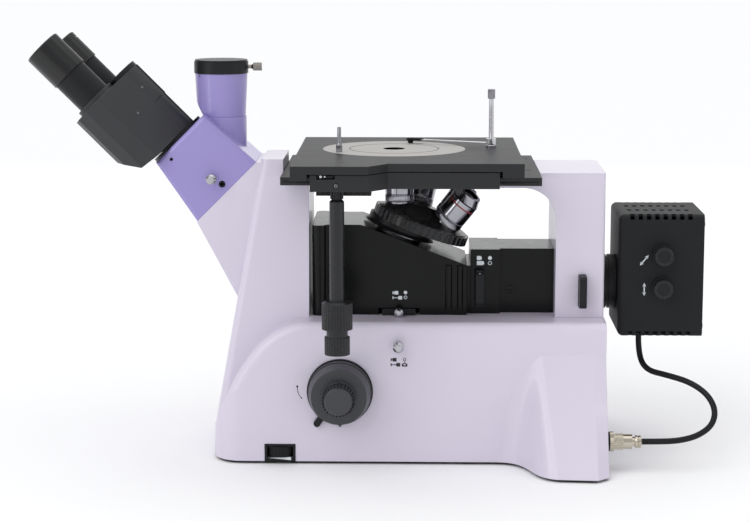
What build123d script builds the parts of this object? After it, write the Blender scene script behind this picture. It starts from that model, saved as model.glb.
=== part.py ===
"""Inverted trinocular microscope: stand, focusing nosepiece, mechanical stage, head and lamp house."""

import math
import os

from build123d import *

os.makedirs("parts", exist_ok=True)

# Fits shared by every sub-part
run_gap = 0.05            # radial play of a shaft or slide in its bore
slide_gap = 0.3           # gap between flat faces that pass each other
wall = 6.0                # wall of the castings

# Stand
mid_x = 28.56             # centre of the specimen opening along X; x values below count from it
optic_x = 6.0             # optical axis of the objective in use
foot_height = 1.4
foot_radius = 13.0
plate_thickness = 1.6
plate_inset = 2.0
shell_bottom = foot_height + plate_thickness
base_front = -187.0
base_rear = 220.0
base_half_width = 98.0
base_edge_radius = 10.0
front_corner = 30.0
ledge_height = 149.5      # top of the base, where the housings stand
arc_height = 36.0         # where the base's curved shoulder starts at the front
flare_half_width = 165.3  # half width of the rear foot at its ridge
flare_start = 106.0       # where the rear foot leaves the side, at the bottom
flare_ridge = 168.0       # where its ridge stands, at the bottom
flare_apex = 150.0        # where it runs out, at the ledge
rear_corner = 12.0

# Front column and neck
column_inner = -88.0
column_wall = -115.0      # end stop of the stage's base plate
column_front = -138.0     # top of the leaning front face
column_lip = 20.0         # top of the column above the stage's seat
column_half_low = 61.0    # half width at the ledge
column_half_high = 46.0   # half width at the top
column_edge = 8.0

# Rear column
rear_inner = 169.0
rear_half_width = 61.0
rear_lip = 8.0            # top of the column above the stage's seat
rear_stop = 151.7
arm_start = 100.0
arm_thickness = 7.5
arch_radius = 34.0
lamp_rise = 28.5          # lamp's light path above the ledge
light_radius = 16.0

# Focus drive
focus_x = -54.5
focus_height = 78.0
pinion_pitch = 6.0        # pitch radius of the focus and stage pinions
focus_teeth = 12
focus_up = 6.0
focus_down = 3.0
coarse_tube_radius = 9.0
fine_rod_radius = 4.0
boss_radius = 20.0
boss_height = 4.0
coarse_radius = 33.0
coarse_tip_radius = 28.6
coarse_length = 25.5
fine_radius = 17.7
fine_tip_radius = 14.2
fine_length = 21.0

# Housings between the columns
housing_half_width = 50.0
housing_front = -85.0
guide_length = 31.0       # bearing of the focus tube in the housing's roof
slope_start = -34.0
housing_end = 77.0
guide_gap = 3.0           # free height over the carriage's arm at its upper end
cube_rise = 16.0          # top of the reflector cube above the light path
cube_gap = 1.0
polarizer_front = 81.0
polarizer_end = 112.0
polarizer_half_width = 41.0
spacer_inset = 2.0        # step between the spacer and the polarizer's housing
relay_half_width = 34.0
relay_rise = 40.0         # top of the relay above the light path

# Nosepiece
tilt = 21.0
shoulder_rise = 17.0      # objective's shoulder above the reflector housing
seat_rise = 31.0          # stage's seat above the objective's shoulder
shoulder_reach = 82.4     # from the cone's apex to an objective's shoulder
socket_count = 5
turret_radius = 52.5
turret_rim = 9.6
carrier_radius = 36.0
carrier_lip = 3.0
carrier_thickness = 9.0
tube_radius = 24.0
tube_wall = 5.0
arm_height = 7.0          # arm between the focus rack and the tube
objective_radius = 15.5

# Stage
stage_left = -114.5
stage_right = 151.2
stage_half_depth = 103.6
base_plate_thickness = 8.3
slide_thickness = 9.9
top_thickness = 8.0
top_left = -100.5
top_right = 131.5
top_front = -168.3
top_step = -141.5         # front edge right of the step
top_back = 118.0
lip_drop = 6.3
lip_width = 16.5
insert_radius = 75.7
insert_seat = 4.0
centre_radius = 47.0
specimen_radius = 11.5
handle_x = -55.0
handle_y = -150.0
stage_teeth = 16
handle_bottom = 128.0

# Head, measured along its 45 degree axis (t) and square to it (n)
head_x = -231.0
head_height = 330.0
head_half_width = 45.0
seam = -76.2              # where the head meets the neck
seam_low = -41.2
seam_high = 47.4
block_low = -27.6
block_high = 43.1
block_end = -2.5
binocular_turn = -3.0     # turn of the binocular on the head, in degrees
pupil_drop = -25.0        # eyepiece axis below the head's axis
pupil_half_spacing = 32.0
hub_radius = 12.0
arm_length = 84.0
eyepiece_radius = 20.6
eyepiece_lengths = {-1: 40.5, 1: 35.0}
diopter_radius = 19.2
diopter_length = 34.7
photo_shift = 48.0        # photo tube behind the head's reference point
photo_foot_rise = 24.5    # seam of the photo tube above that point
photo_tube_length = 45.5

# Lamp house
lamp_front = 235.5
lamp_rear = 324.0
lamp_half_width = 52.0
lamp_below = 50.4         # bottom of the lamp house under the light path
lamp_above = 78.8         # its top over the light path
lamp_wall = 3.0
collar_radius = 29.0
cable_diameter = 6.2
plug_y = -114.0
plug_height = 30.2

# Pull rods, light control and rear fittings of the stand
camera_drop = 22.0        # camera rod below the ledge
camera_stem = 40.0
camera_rod_radius = 4.0
head_rod_shift = 41.6
head_rod_drop = 36.8
head_stem = 22.0
head_rod_radius = 3.5
bezel_x = (-133.0, -101.0)
bezel_depth = 27.0
bezel_tall = 18.4
inlet_y = 40.0
inlet_height = 60.0
inlet_half_width = 14.0
inlet_half_height = 10.0
socket_radius = 8.0

# Heights and radii that follow from the sizes above
lamp_height = ledge_height + lamp_rise
relay_top = lamp_height + relay_rise
lamp_bottom = lamp_height - lamp_below
lamp_top = lamp_height + lamp_above
cube_top = lamp_height + cube_rise
tube_bottom = cube_top + focus_down + cube_gap
guide_roof = tube_bottom + arm_height + focus_up + guide_gap
housing_top = guide_roof + guide_length
shoulder_height = housing_top + shoulder_rise
seat_height = shoulder_height + seat_rise
column_top = seat_height + column_lip
rear_top = seat_height + rear_lip
camera_height = ledge_height - camera_drop
photo_x = head_x + photo_shift
photo_seam = head_height + photo_foot_rise
photo_top = photo_seam + photo_tube_length
head_rod_x = head_x + head_rod_shift
head_rod_height = head_height - head_rod_drop
bezel_height = (shell_bottom, shell_bottom + bezel_tall)
plate_top = seat_height + base_plate_thickness
slide_bottom = plate_top + slide_gap
slide_top = slide_bottom + slide_thickness
top_bottom = slide_top + slide_gap
stage_top = top_bottom + top_thickness
cone = math.radians(tilt)
apex_height = shoulder_height - shoulder_reach
shoulder_axial = shoulder_reach * math.cos(cone)
socket_pitch = shoulder_reach * math.sin(cone)
slope_run = housing_end - slope_start
slope_end_height = housing_top - slope_run * math.tan(cone)
slope_axial = (slope_start - optic_x) * math.sin(cone) + (housing_top - apex_height) * math.cos(cone)
carrier_axial = slope_axial + focus_down * math.cos(cone) + slide_gap
turret_axial = carrier_axial + carrier_thickness + slide_gap
boss_end = base_half_width + boss_height
coarse_start = boss_end + slide_gap
coarse_end = coarse_start + coarse_length
fine_start = coarse_end + slide_gap
low = (Align.CENTER, Align.CENTER, Align.MIN)


def side(x=0.0, y=0.0, z=0.0):
    """Upright plane facing the front; its local axes run along X and Z."""
    return Plane(origin=(mid_x + x, y, z), x_dir=(1, 0, 0), z_dir=(0, -1, 0))


def level(z, x=0.0, y=0.0):
    """Level plane at height z."""
    return Plane(origin=(mid_x + x, y, z))


def facing_rear(x, y=0.0, z=0.0):
    """Upright plane facing +X; its local axes run along Y and Z."""
    return Plane(origin=(mid_x + x, y, z), x_dir=(0, 1, 0), z_dir=(1, 0, 0))


diagonal = math.sqrt(0.5)
head_axis = Plane(origin=(mid_x + head_x, 0, head_height), x_dir=(diagonal, 0, diagonal),
                  z_dir=(-diagonal, 0, diagonal))
head_side = Plane(origin=(mid_x + head_x, 0, head_height), x_dir=(-diagonal, 0, diagonal), z_dir=(0, 1, 0))
turret_axis = Plane(origin=(mid_x + optic_x, 0, apex_height),
                    x_dir=(math.cos(cone), 0, -math.sin(cone)), z_dir=(math.sin(cone), 0, math.cos(cone)))


def socket_plane(index, reach):
    """Plane square to the axis of one objective socket, at a distance from the cone's apex."""
    angle = math.pi + index * 2 * math.pi / socket_count
    local = Vector(math.sin(cone) * math.cos(angle), math.sin(cone) * math.sin(angle), math.cos(cone))
    direction = (turret_axis.x_dir * local.X + turret_axis.y_dir * local.Y + turret_axis.z_dir * local.Z)
    across = turret_axis.y_dir * math.cos(angle) - turret_axis.x_dir * math.sin(angle)
    return Plane(origin=turret_axis.origin + direction * reach, x_dir=across, z_dir=direction)


def disc(plane, radius, height, mode=Mode.ADD):
    """Cylinder that stands on a plane."""
    with Locations(plane.location):
        Cylinder(radius, height, align=low, mode=mode)


def taper(plane, radius, end_radius, height, mode=Mode.ADD):
    """Cone frustum that stands on a plane."""
    with Locations(plane.location):
        Cone(radius, end_radius, height, align=low, mode=mode)


def block(x, y, z, mode=Mode.ADD):
    """Box between two X values from the centre line, two Y values and two heights."""
    with Locations((mid_x + (x[0] + x[1]) / 2, (y[0] + y[1]) / 2, (z[0] + z[1]) / 2)):
        Box(x[1] - x[0], y[1] - y[0], z[1] - z[0], mode=mode)


def fluted_disc(plane, radius, height, flutes, depth):
    """Knob blank with flutes round its rim, as its own solid."""
    with BuildPart() as blank:
        with BuildSketch(plane):
            Circle(radius)
            with PolarLocations(radius + depth * 0.4, flutes):
                Circle(depth * 1.4, mode=Mode.SUBTRACT)
        extrude(amount=height)
    return blank.part


def pinion(plane, teeth, height):
    """Spur pinion of the shared pitch radius, with thin teeth that leave free play."""
    module = 2 * pinion_pitch / teeth
    tip, root = pinion_pitch + 0.8 * module, pinion_pitch - 1.1 * module
    with BuildPart() as wheel:
        with BuildSketch(plane):
            Circle(root)
            with PolarLocations(0, teeth):
                Polygon((root - 0.3, -0.75 * module), (tip, -0.25 * module),
                        (tip, 0.25 * module), (root - 0.3, 0.75 * module), align=None)
        extrude(amount=height)
    return wheel.part


def head_point(t, n):
    """X from the centre line and height of a point of the head's side view."""
    return head_x + (n - t) * diagonal, head_height + (n + t) * diagonal


def save(part, name):
    """Name a finished piece and write it."""
    part.label = name
    export_step(part, f"parts/{name}.step")


# Foot of the stand: plan of the flared base, shared by the casting and its bottom plate
def flare_section(share, inset=0.0):
    """Half plan of the rear foot at one height; share runs from 1 at the bottom to 0 at the ledge."""
    start = flare_apex + (flare_start - flare_apex) * share ** 0.75 + inset
    ridge = flare_apex + (flare_ridge - flare_apex) * share + inset
    reach = base_half_width - base_edge_radius
    out = reach + (flare_half_width - reach) * share ** 1.35 - inset
    near = reach + (base_half_width - reach) * min(1.0, 3 * share) - inset
    return start, ridge, near, out


def flare_wires(z, share, inset=0.0):
    """Draw one half plan of the rear foot on the front side."""
    start, ridge, near, out = flare_section(share, inset)
    rear = base_rear - inset
    with BuildSketch(level(z)) as plan:
        with BuildLine():
            Spline((start, -near), (ridge, -out), tangents=((1, 0), (1, -0.25)))
            Line((ridge, -out), (rear - rear_corner, -out - 3 * share))
            Line((rear - rear_corner, -out - 3 * share), (rear, -out - 3 * share + rear_corner * share))
            Polyline((rear, -out - 3 * share + rear_corner * share), (rear, -near / 2), (start, -near / 2),
                     (start, -near))
        make_face()
    return plan.sketch


flare_levels = ((shell_bottom, 1.0), (42.0, 0.745), (80.0, 0.48), (115.0, 0.235), (ledge_height - 1, 0.03))

with BuildPart() as front_column:
    with BuildSketch(side()):
        with BuildLine():
            Polyline((base_front, shell_bottom), (base_front, arc_height), (column_front, column_top),
                     (column_wall, column_top), (column_wall, seat_height), (column_inner, seat_height),
                     (column_inner, shell_bottom), close=True)
        make_face()
    extrude(amount=base_half_width, both=True)
    lean = (column_half_low - column_half_high) / (column_top - ledge_height)
    for hand in (-1, 1):
        split(bisect_by=Plane(origin=(0, hand * column_half_low, ledge_height), x_dir=(1, 0, 0),
                              z_dir=(0, hand, lean)), keep=Keep.BOTTOM)
    fillet(front_column.edges().filter_by(
        lambda e: e.length > column_top - arc_height and e.center().X < mid_x + column_front), column_edge)

neck_foot = 167.0         # where the neck's underside meets the leaning front face
neck_foot_x = base_front + (column_front - base_front) * (neck_foot - arc_height) / (column_top - arc_height)
neck_inside = -130.0
with BuildPart() as neck:
    with BuildSketch(side()):
        with BuildLine():
            Polyline(head_point(seam, seam_high), head_point(seam, seam_low), (neck_foot_x, neck_foot),
                     (neck_inside, neck_foot), (neck_inside, head_point(seam, seam_high)[1]), close=True)
        make_face()
    extrude(amount=head_half_width, both=True)

with BuildPart() as rear_foot:
    for height, share in flare_levels:
        add(flare_wires(height, share))
    loft()
    mirror(about=Plane.XZ)

with BuildPart() as stand_casting:
    with BuildSketch(side()):
        with BuildLine():
            Polyline((base_front, arc_height), (base_front, shell_bottom), (base_rear, shell_bottom),
                     (base_rear, ledge_height), (column_inner, ledge_height))
            Bezier((column_inner, ledge_height), (column_inner - 44, ledge_height),
                   (base_front + 22, arc_height + 64), (base_front, arc_height))
        make_face()
    extrude(amount=base_half_width, both=True)
    fillet(stand_casting.edges().filter_by(
        lambda e: abs(abs(e.center().Y) - base_half_width) < 0.01 and e.center().Z > arc_height
        and e.center().X < mid_x + base_rear - 1), base_edge_radius)
    with BuildSketch(level(shell_bottom)):
        with Locations(((base_front + base_rear) / 2, 0)):
            RectangleRounded(base_rear - base_front, 2 * base_half_width, front_corner)
        with Locations((base_rear - front_corner, 0)):
            Rectangle(2 * front_corner, 2 * base_half_width)
    extrude(amount=column_top, mode=Mode.INTERSECT)
    add(rear_foot.part)
    add(front_column.part)
    add(neck.part)
    # Hollow of the base, of its front end and of the column
    block((column_inner + 4, base_rear - wall), (wall - base_half_width, base_half_width - wall),
          (shell_bottom, ledge_height - wall), Mode.SUBTRACT)
    block((base_front + 3 * wall, column_inner + 4), (-base_half_width + 3 * wall, base_half_width - 3 * wall),
          (shell_bottom, arc_height), Mode.SUBTRACT)
    block((column_front - wall, column_inner - 2 * wall), (-column_half_high + wall, column_half_high - wall),
          (shell_bottom, seat_height - 2 * wall), Mode.SUBTRACT)
    # Light path up the neck
    with Locations(head_axis.offset(seam - 60).location):
        Cylinder(light_radius, 2 * 60, align=low, mode=Mode.SUBTRACT)
    # Bosses and bores of the focus shaft
    for hand in (-1, 1):
        with BuildSketch(side(focus_x, 0, focus_height).offset(hand * (base_half_width - wall))):
            Circle(boss_radius)
        extrude(amount=hand * (wall + boss_height))
    disc(side(focus_x, boss_end, focus_height), coarse_tube_radius + run_gap, 2 * boss_end, Mode.SUBTRACT)
    # Openings in the ledge for the light and for the focus rack
    disc(level(ledge_height - 2 * wall, optic_x), light_radius, 3 * wall, Mode.SUBTRACT)
    block((focus_x + 2, focus_x + 20), (-8, 8), (ledge_height - 2 * wall, ledge_height + wall), Mode.SUBTRACT)
    # Bore of the camera rod, window of the light control, and the rear inlet and lamp socket
    disc(side(optic_x, wall - base_half_width + 1, camera_height), camera_rod_radius + run_gap, wall + 2,
         Mode.SUBTRACT)
    block(bezel_x, (-base_half_width - 1, bezel_depth - base_half_width), bezel_height, Mode.SUBTRACT)
    block((base_rear - wall - 1, base_rear + 1), (inlet_y - inlet_half_width, inlet_y + inlet_half_width),
          (inlet_height - inlet_half_height, inlet_height + inlet_half_height), Mode.SUBTRACT)
    disc(facing_rear(base_rear - 4 * wall, plug_y, plug_height), socket_radius, 5 * wall, Mode.SUBTRACT)
save(stand_casting.part, "stand_casting")

with BuildPart() as base_plate:
    with BuildSketch(level(foot_height)):
        with Locations(((base_front + base_rear) / 2, 0)):
            RectangleRounded(base_rear - base_front - 2 * plate_inset, 2 * (base_half_width - plate_inset),
                             front_corner - plate_inset)
    extrude(amount=plate_thickness)
    add(flare_wires(foot_height, 1.0, plate_inset))
    extrude(amount=plate_thickness, dir=(0, 0, 1))
    mirror(about=Plane.XZ)
save(base_plate.part, "base_plate")

foot_places = [(base_front + 45, 62), (base_front + 45, -62), (base_rear - 36, 128), (base_rear - 36, -128)]
with BuildPart() as rubber_feet:
    for x, y in foot_places:
        taper(level(0, x, y), foot_radius - 1, foot_radius, foot_height)
save(rubber_feet.part, "rubber_feet")

# Supply board with its transformer, on stand-offs above the bottom plate
board_x = (60.0, 180.0)
board_y = (-20.0, 70.0)
board_height = shell_bottom + 8
coil_inset = 20.0
coil_side = 50.0
coil_height = 44.0
with BuildPart() as power_supply:
    block(board_x, board_y, (board_height, board_height + 2))
    for x in (board_x[0] + 8, board_x[1] - 8):
        for y in (board_y[0] + 8, board_y[1] - 8):
            disc(level(shell_bottom, x, y), 4, board_height - shell_bottom)
    block((board_x[0] + coil_inset, board_x[0] + coil_inset + coil_side),
          (board_y[0] + coil_inset, board_y[0] + coil_inset + coil_side), (board_height, board_height + coil_height))
    for x in (board_x[1] - 34, board_x[1] - 16):
        disc(level(board_height, x, board_y[1] - 30), 8, 30)
save(power_supply.part, "power_supply")

# Mirror under the nosepiece that sends the light to the neck
mirror_half = 15.0
mirror_height = 96.0
mirror_thickness = 2.0
with BuildPart() as mirror_stand:
    with BuildSketch(side(optic_x)):
        with BuildLine():
            Polyline((-mirror_half, shell_bottom), (mirror_half, shell_bottom),
                     (mirror_half, mirror_height + mirror_half), (-mirror_half, mirror_height - mirror_half),
                     close=True)
        make_face()
    extrude(amount=mirror_half, both=True)
save(mirror_stand.part, "mirror_stand")

mirror_plane = Plane(origin=(mid_x + optic_x, 0, mirror_height), x_dir=(diagonal, 0, diagonal),
                     z_dir=(-diagonal, 0, diagonal))

# Rear column with the arm that carries the right end of the stage
slot_x = (193.0, 201.0)
slot_half_height = 17.0
slot_depth = 24.0
arm_under = seat_height - arm_thickness
with BuildPart() as rear_column:
    with BuildSketch(side()):
        with BuildLine():
            Polyline((rear_inner, arm_under - arch_radius), (rear_inner, ledge_height), (base_rear, ledge_height),
                     (base_rear, rear_top), (rear_stop, rear_top), (rear_stop, seat_height),
                     (arm_start, seat_height), (arm_start, arm_under), (rear_inner - arch_radius, arm_under))
            RadiusArc((rear_inner - arch_radius, arm_under), (rear_inner, arm_under - arch_radius), arch_radius)
        make_face()
    extrude(amount=rear_half_width, both=True)
    fillet(rear_column.edges().filter_by(Axis.Z).filter_by(
        lambda e: e.center().X > mid_x + base_rear - 1), 5.0)
    disc(facing_rear(rear_inner - wall, 0, lamp_height), light_radius, base_rear - rear_inner + 2 * wall,
         Mode.SUBTRACT)
    block(slot_x, (-rear_half_width - 1, slot_depth),
          (lamp_height - slot_half_height, lamp_height + slot_half_height), Mode.SUBTRACT)
save(rear_column.part, "rear_column")

# Filter slide in the rear column
handle_stand = 17.0
with BuildPart() as filter_slide:
    block((slot_x[0] + slide_gap, slot_x[1] - slide_gap), (-rear_half_width - handle_stand, slot_depth - 2),
          (lamp_height - slot_half_height + slide_gap, lamp_height + slot_half_height - slide_gap))
    disc(facing_rear(slot_x[0], 0, lamp_height), light_radius - 2, slot_x[1] - slot_x[0], Mode.SUBTRACT)
    fillet(filter_slide.edges().filter_by(Axis.X).filter_by(
        lambda e: e.center().Y < -rear_half_width - handle_stand + 1), 5.0)
save(filter_slide.part, "filter_slide")

# Reflector housing under the nosepiece, open at the bottom
hollow_end = slope_start + (housing_top - guide_roof - 4) / math.tan(cone)
tray_half_width = 17.5
tray_height = 6.5
tray_gap = 4.0            # open slot at each side of the tray
tray_bottom = ledge_height + slide_gap
with BuildPart() as reflector_housing:
    with BuildSketch(side()):
        with BuildLine():
            Polyline((housing_front, ledge_height), (housing_front, housing_top), (slope_start, housing_top),
                     (housing_end, slope_end_height), (housing_end, ledge_height), close=True)
        make_face()
    extrude(amount=housing_half_width, both=True)
    for hand in (-1, 1):
        disc(level(ledge_height, housing_front + 7.5, hand * housing_half_width), 7, housing_top - ledge_height)
        for x, radius in ((housing_end - 19, 3.5), (housing_end - 7, 3.0)):
            disc(level(ledge_height + 6, x, hand * housing_half_width), radius, slope_end_height - ledge_height - 6)
    block((housing_front + wall, hollow_end), (wall - housing_half_width, housing_half_width - wall),
          (ledge_height, guide_roof), Mode.SUBTRACT)
    disc(level(guide_roof - 1, optic_x), tube_radius + run_gap, housing_top - guide_roof + 2, Mode.SUBTRACT)
    disc(facing_rear(hollow_end - 1, 0, lamp_height), light_radius, housing_end - hollow_end + 2, Mode.SUBTRACT)
    block((optic_x - tray_half_width - tray_gap, optic_x + tray_half_width + tray_gap),
          (-housing_half_width - 1, wall - housing_half_width + 1),
          (ledge_height, tray_bottom + tray_height + slide_gap), Mode.SUBTRACT)
save(reflector_housing.part, "reflector_housing")

# Cube that holds the half mirror in the light path
cube_half = 20.0
cube_bottom = ledge_height + 9.5
glass_thickness = 1.4
glass_length = 38.0
glass_width = 29.0
glass_plane = Plane(origin=(mid_x + optic_x, 0, lamp_height), x_dir=(diagonal, 0, -diagonal),
                    z_dir=(diagonal, 0, diagonal))
with BuildPart() as reflector_cube:
    block((optic_x - cube_half + 3, hollow_end), (-cube_half, cube_half), (cube_bottom, cube_top))
    disc(level(cube_bottom - 1, optic_x), light_radius - 3, cube_top - cube_bottom + 2, Mode.SUBTRACT)
    disc(facing_rear(optic_x, 0, lamp_height), light_radius - 3, hollow_end - optic_x + 1, Mode.SUBTRACT)
    with Locations(glass_plane.location):
        Box(glass_length + 0.4, glass_width + 0.4, glass_thickness + 0.4, mode=Mode.SUBTRACT)
save(reflector_cube.part, "reflector_cube")

def pull_knob(x, y, z, stem_radius, stem, knob_radius, length):
    """Turned pull knob on a stem, its axis towards the front, starting at y."""
    with BuildPart() as knob:
        disc(side(x, y, z), stem_radius, stem)
        taper(side(x, y - stem, z), knob_radius - 1.5, knob_radius, 2)
        disc(side(x, y - stem - 2, z), knob_radius, length - 5)
        taper(side(x, y - stem - length + 3, z), knob_radius, knob_radius - 2, 2)
        disc(side(x, y - stem - length + 1, z), knob_radius - 2.5, 1)
    return knob.part


# Analyzer tray that slides on the ledge, with its pull knob
analyzer_knob_radius = 4.6
with BuildPart() as analyzer_tray:
    block((optic_x - tray_half_width, optic_x + tray_half_width), (-housing_half_width - 4, 30),
          (tray_bottom, tray_bottom + tray_height))
    disc(level(tray_bottom - 1, optic_x), light_radius - 3, tray_height + 2, Mode.SUBTRACT)
    add(pull_knob(optic_x, -housing_half_width - 4, tray_bottom + analyzer_knob_radius, 1.6, 4.0,
                  analyzer_knob_radius, 11.0))
save(analyzer_tray.part, "analyzer_tray")

# Beam-splitter rods of the base and of the head
camera_rod = pull_knob(optic_x, -base_half_width + camera_stem - 6, camera_height,
                       camera_rod_radius, camera_stem, 5.6, 14.0)
save(camera_rod, "camera_rod")
head_rod = pull_knob(head_rod_x, -head_half_width + head_stem - 4, head_rod_height,
                     head_rod_radius, head_stem, 5.4, 13.0)
save(head_rod, "head_rod")

# Illuminator housing with the polarizer slide
polarizer_slot = (86.0, 95.0)
polarizer_half_height = 19.0
with BuildPart() as illuminator_housing:
    block((polarizer_front, polarizer_end), (-polarizer_half_width, polarizer_half_width), (ledge_height, relay_top))
    block((polarizer_end, rear_inner), (-relay_half_width, relay_half_width), (ledge_height, relay_top))
    block((housing_end + slide_gap, polarizer_front),
          (spacer_inset - polarizer_half_width, polarizer_half_width - spacer_inset),
          (ledge_height, slope_end_height - spacer_inset))
    disc(facing_rear(housing_end - 1, 0, lamp_height), light_radius, rear_inner - housing_end + 2,
         Mode.SUBTRACT)
    block(polarizer_slot, (-polarizer_half_width - 1, slot_depth),
          (lamp_height - polarizer_half_height, lamp_height + polarizer_half_height), Mode.SUBTRACT)
    disc(side((polarizer_end + rear_inner) / 2 - 18, -relay_half_width, lamp_height - 4), 4.5, 1.5)
save(illuminator_housing.part, "illuminator_housing")

with BuildPart() as polarizer_slide:
    block((polarizer_slot[0] + slide_gap, polarizer_slot[1] - slide_gap),
          (-polarizer_half_width - handle_stand, slot_depth - 2),
          (lamp_height - polarizer_half_height + slide_gap, lamp_height + polarizer_half_height - slide_gap))
    disc(facing_rear(polarizer_slot[0], 0, lamp_height), light_radius - 2, polarizer_slot[1] - polarizer_slot[0],
         Mode.SUBTRACT)
    fillet(polarizer_slide.edges().filter_by(Axis.X).filter_by(
        lambda e: e.center().Y < -polarizer_half_width - handle_stand + 1), 5.0)
save(polarizer_slide.part, "polarizer_slide")

# Focusing carriage: guide tube, arm and rack in one piece
rack_x = focus_x + pinion_pitch
rack_half_width = 5.0
rack_back = rack_x + 8
rack_bottom = focus_height - 22
carrier_plane = turret_axis.offset(carrier_axial)
carrier_shift = -carrier_axial * math.tan(cone)   # optical axis seen from the turret's axis, in that plane
focus_module = 2 * pinion_pitch / focus_teeth
with BuildPart() as focus_carriage:
    disc(level(tube_bottom, optic_x), tube_radius, housing_top + 20 - tube_bottom)
    split(bisect_by=carrier_plane, keep=Keep.BOTTOM)
    block((rack_x + 1.1 * focus_module, optic_x), (-rack_half_width, rack_half_width),
          (tube_bottom, tube_bottom + arm_height))
    block((rack_x + 1.1 * focus_module, rack_back), (-rack_half_width, rack_half_width), (rack_bottom, tube_bottom))
    disc(level(tube_bottom - 1, optic_x), tube_radius - tube_wall, housing_top + 22 - tube_bottom, Mode.SUBTRACT)
    with BuildSketch(side()):
        for index in range(-6, 6):
            height = focus_height + (index + 0.5) * math.pi * focus_module
            with Locations((rack_x + 1.1 * focus_module, height)):
                Polygon((0.2, -0.75 * focus_module), (0.2, 0.75 * focus_module),
                        (-1.9 * focus_module, 0.25 * focus_module), (-1.9 * focus_module, -0.25 * focus_module),
                        align=None)
    extrude(amount=rack_half_width, both=True)
save(focus_carriage.part, "focus_carriage")

pin_radius = 8.0
with BuildPart() as nosepiece_base:
    with BuildSketch(carrier_plane):
        with Locations((carrier_shift, 0)):
            Circle(carrier_radius)
    extrude(amount=carrier_thickness)
    with BuildSketch(carrier_plane):
        with Locations((carrier_shift, 0)):
            Circle(carrier_radius + carrier_lip)
    extrude(amount=carrier_lip, taper=45)
    disc(carrier_plane, pin_radius, carrier_thickness + turret_rim)
    disc(level(tube_bottom, optic_x), tube_radius - tube_wall, housing_top + 40 - tube_bottom, Mode.SUBTRACT)
save(nosepiece_base.part, "nosepiece_base")

# Turret: fluted rim under a cone whose face is square to each objective
spot_radius = objective_radius + 0.3
spot_depth = 0.6
objective_bore = 9.0
rim_top = turret_axial + turret_rim
cap_radius = 12.0
shoulder_face = shoulder_axial + socket_pitch * math.tan(cone) + spot_depth / math.cos(cone)
with BuildPart() as turret:
    add(fluted_disc(turret_axis.offset(turret_axial), turret_radius, turret_rim, 44, 1.2))
    with BuildSketch(Plane(origin=turret_axis.origin, x_dir=turret_axis.x_dir, z_dir=(0, -1, 0))):
        with BuildLine():
            edge = turret_radius - 3
            Polyline((0, rim_top - 1), (edge, rim_top - 1), (edge, shoulder_face - edge * math.tan(cone)),
                     (cap_radius, shoulder_face - cap_radius * math.tan(cone)),
                     (0, shoulder_face - cap_radius * math.tan(cone)), close=True)
        make_face()
    revolve(axis=Axis(turret_axis.origin, turret_axis.z_dir))
    disc(turret_axis.offset(turret_axial - 1), pin_radius + run_gap, turret_rim + 4, Mode.SUBTRACT)
    for index in range(socket_count):
        disc(socket_plane(index, shoulder_reach), spot_radius, 12, Mode.SUBTRACT)
        disc(socket_plane(index, shoulder_reach - 30), objective_bore, 40, Mode.SUBTRACT)
save(turret.part, "turret")


def objective(index, length, nose):
    """Objective on one socket: knurled foot, barrel, band and nose cone around its front lens."""
    def stand(height):
        return socket_plane(index, shoulder_reach + height)
    with BuildPart() as lens:
        disc(stand(-5), objective_bore - run_gap, 5)
        disc(stand(0), objective_radius - 1, 2)
        disc(stand(2), objective_radius, length * 0.55)
        disc(stand(2 + length * 0.55), objective_radius - 0.6, 2)
        disc(stand(4 + length * 0.55), objective_radius - 0.2, length * 0.2)
        taper(stand(4 + length * 0.75), objective_radius - 0.2, nose + 2, length * 0.25 - 6)
        disc(stand(length - 2), nose + 1, 2)
        taper(stand(length - 1.5), 0.6 * nose, nose, 1.5, Mode.SUBTRACT)
        disc(stand(-6), objective_bore - 3, 10, Mode.SUBTRACT)
    return lens.part


objective_sizes = {0: ("objective_10x", 41.0, 8.0), 2: ("objective_5x", 42.0, 9.0),
                   3: ("objective_20x", 42.0, 7.0), 4: ("objective_50x", 43.0, 6.0)}
for socket, (name, length, nose) in objective_sizes.items():
    save(objective(socket, length, nose), name)

with BuildPart() as turret_plug:
    disc(socket_plane(1, shoulder_reach - 5), objective_bore - run_gap, 5)
    disc(socket_plane(1, shoulder_reach), objective_radius - 0.5, 1.2)
save(turret_plug.part, "turret_plug")

# Coaxial focus knobs: the coarse pair on a tube with the pinion, the fine pair on a rod inside it
pinion_half = pinion_pitch + 3
coarse_grip = 7.0
coarse_groove = 2.0
fine_grip = 4.0
with BuildPart() as coarse_knobs:
    disc(side(focus_x, coarse_start, focus_height), coarse_tube_radius, 2 * coarse_start)
    disc(side(focus_x, pinion_half, focus_height), coarse_tube_radius + 1, 2 * pinion_half, Mode.SUBTRACT)
    add(pinion(side(focus_x, pinion_half, focus_height), focus_teeth, 2 * pinion_half))
    for hand in (-1, 1):
        outward = Plane(origin=(mid_x + focus_x, hand * coarse_start, focus_height), x_dir=(1, 0, 0),
                        z_dir=(0, hand, 0))
        disc(outward, coarse_radius, coarse_grip)
        disc(outward.offset(coarse_grip), coarse_radius - 1.5, coarse_groove)
        taper(outward.offset(coarse_grip + coarse_groove), coarse_radius - 0.8, coarse_tip_radius,
              coarse_length - coarse_grip - coarse_groove)
    disc(side(focus_x, coarse_end + 1, focus_height), fine_rod_radius + run_gap, 2 * coarse_end + 2, Mode.SUBTRACT)
save(coarse_knobs.part, "coarse_knobs")

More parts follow.
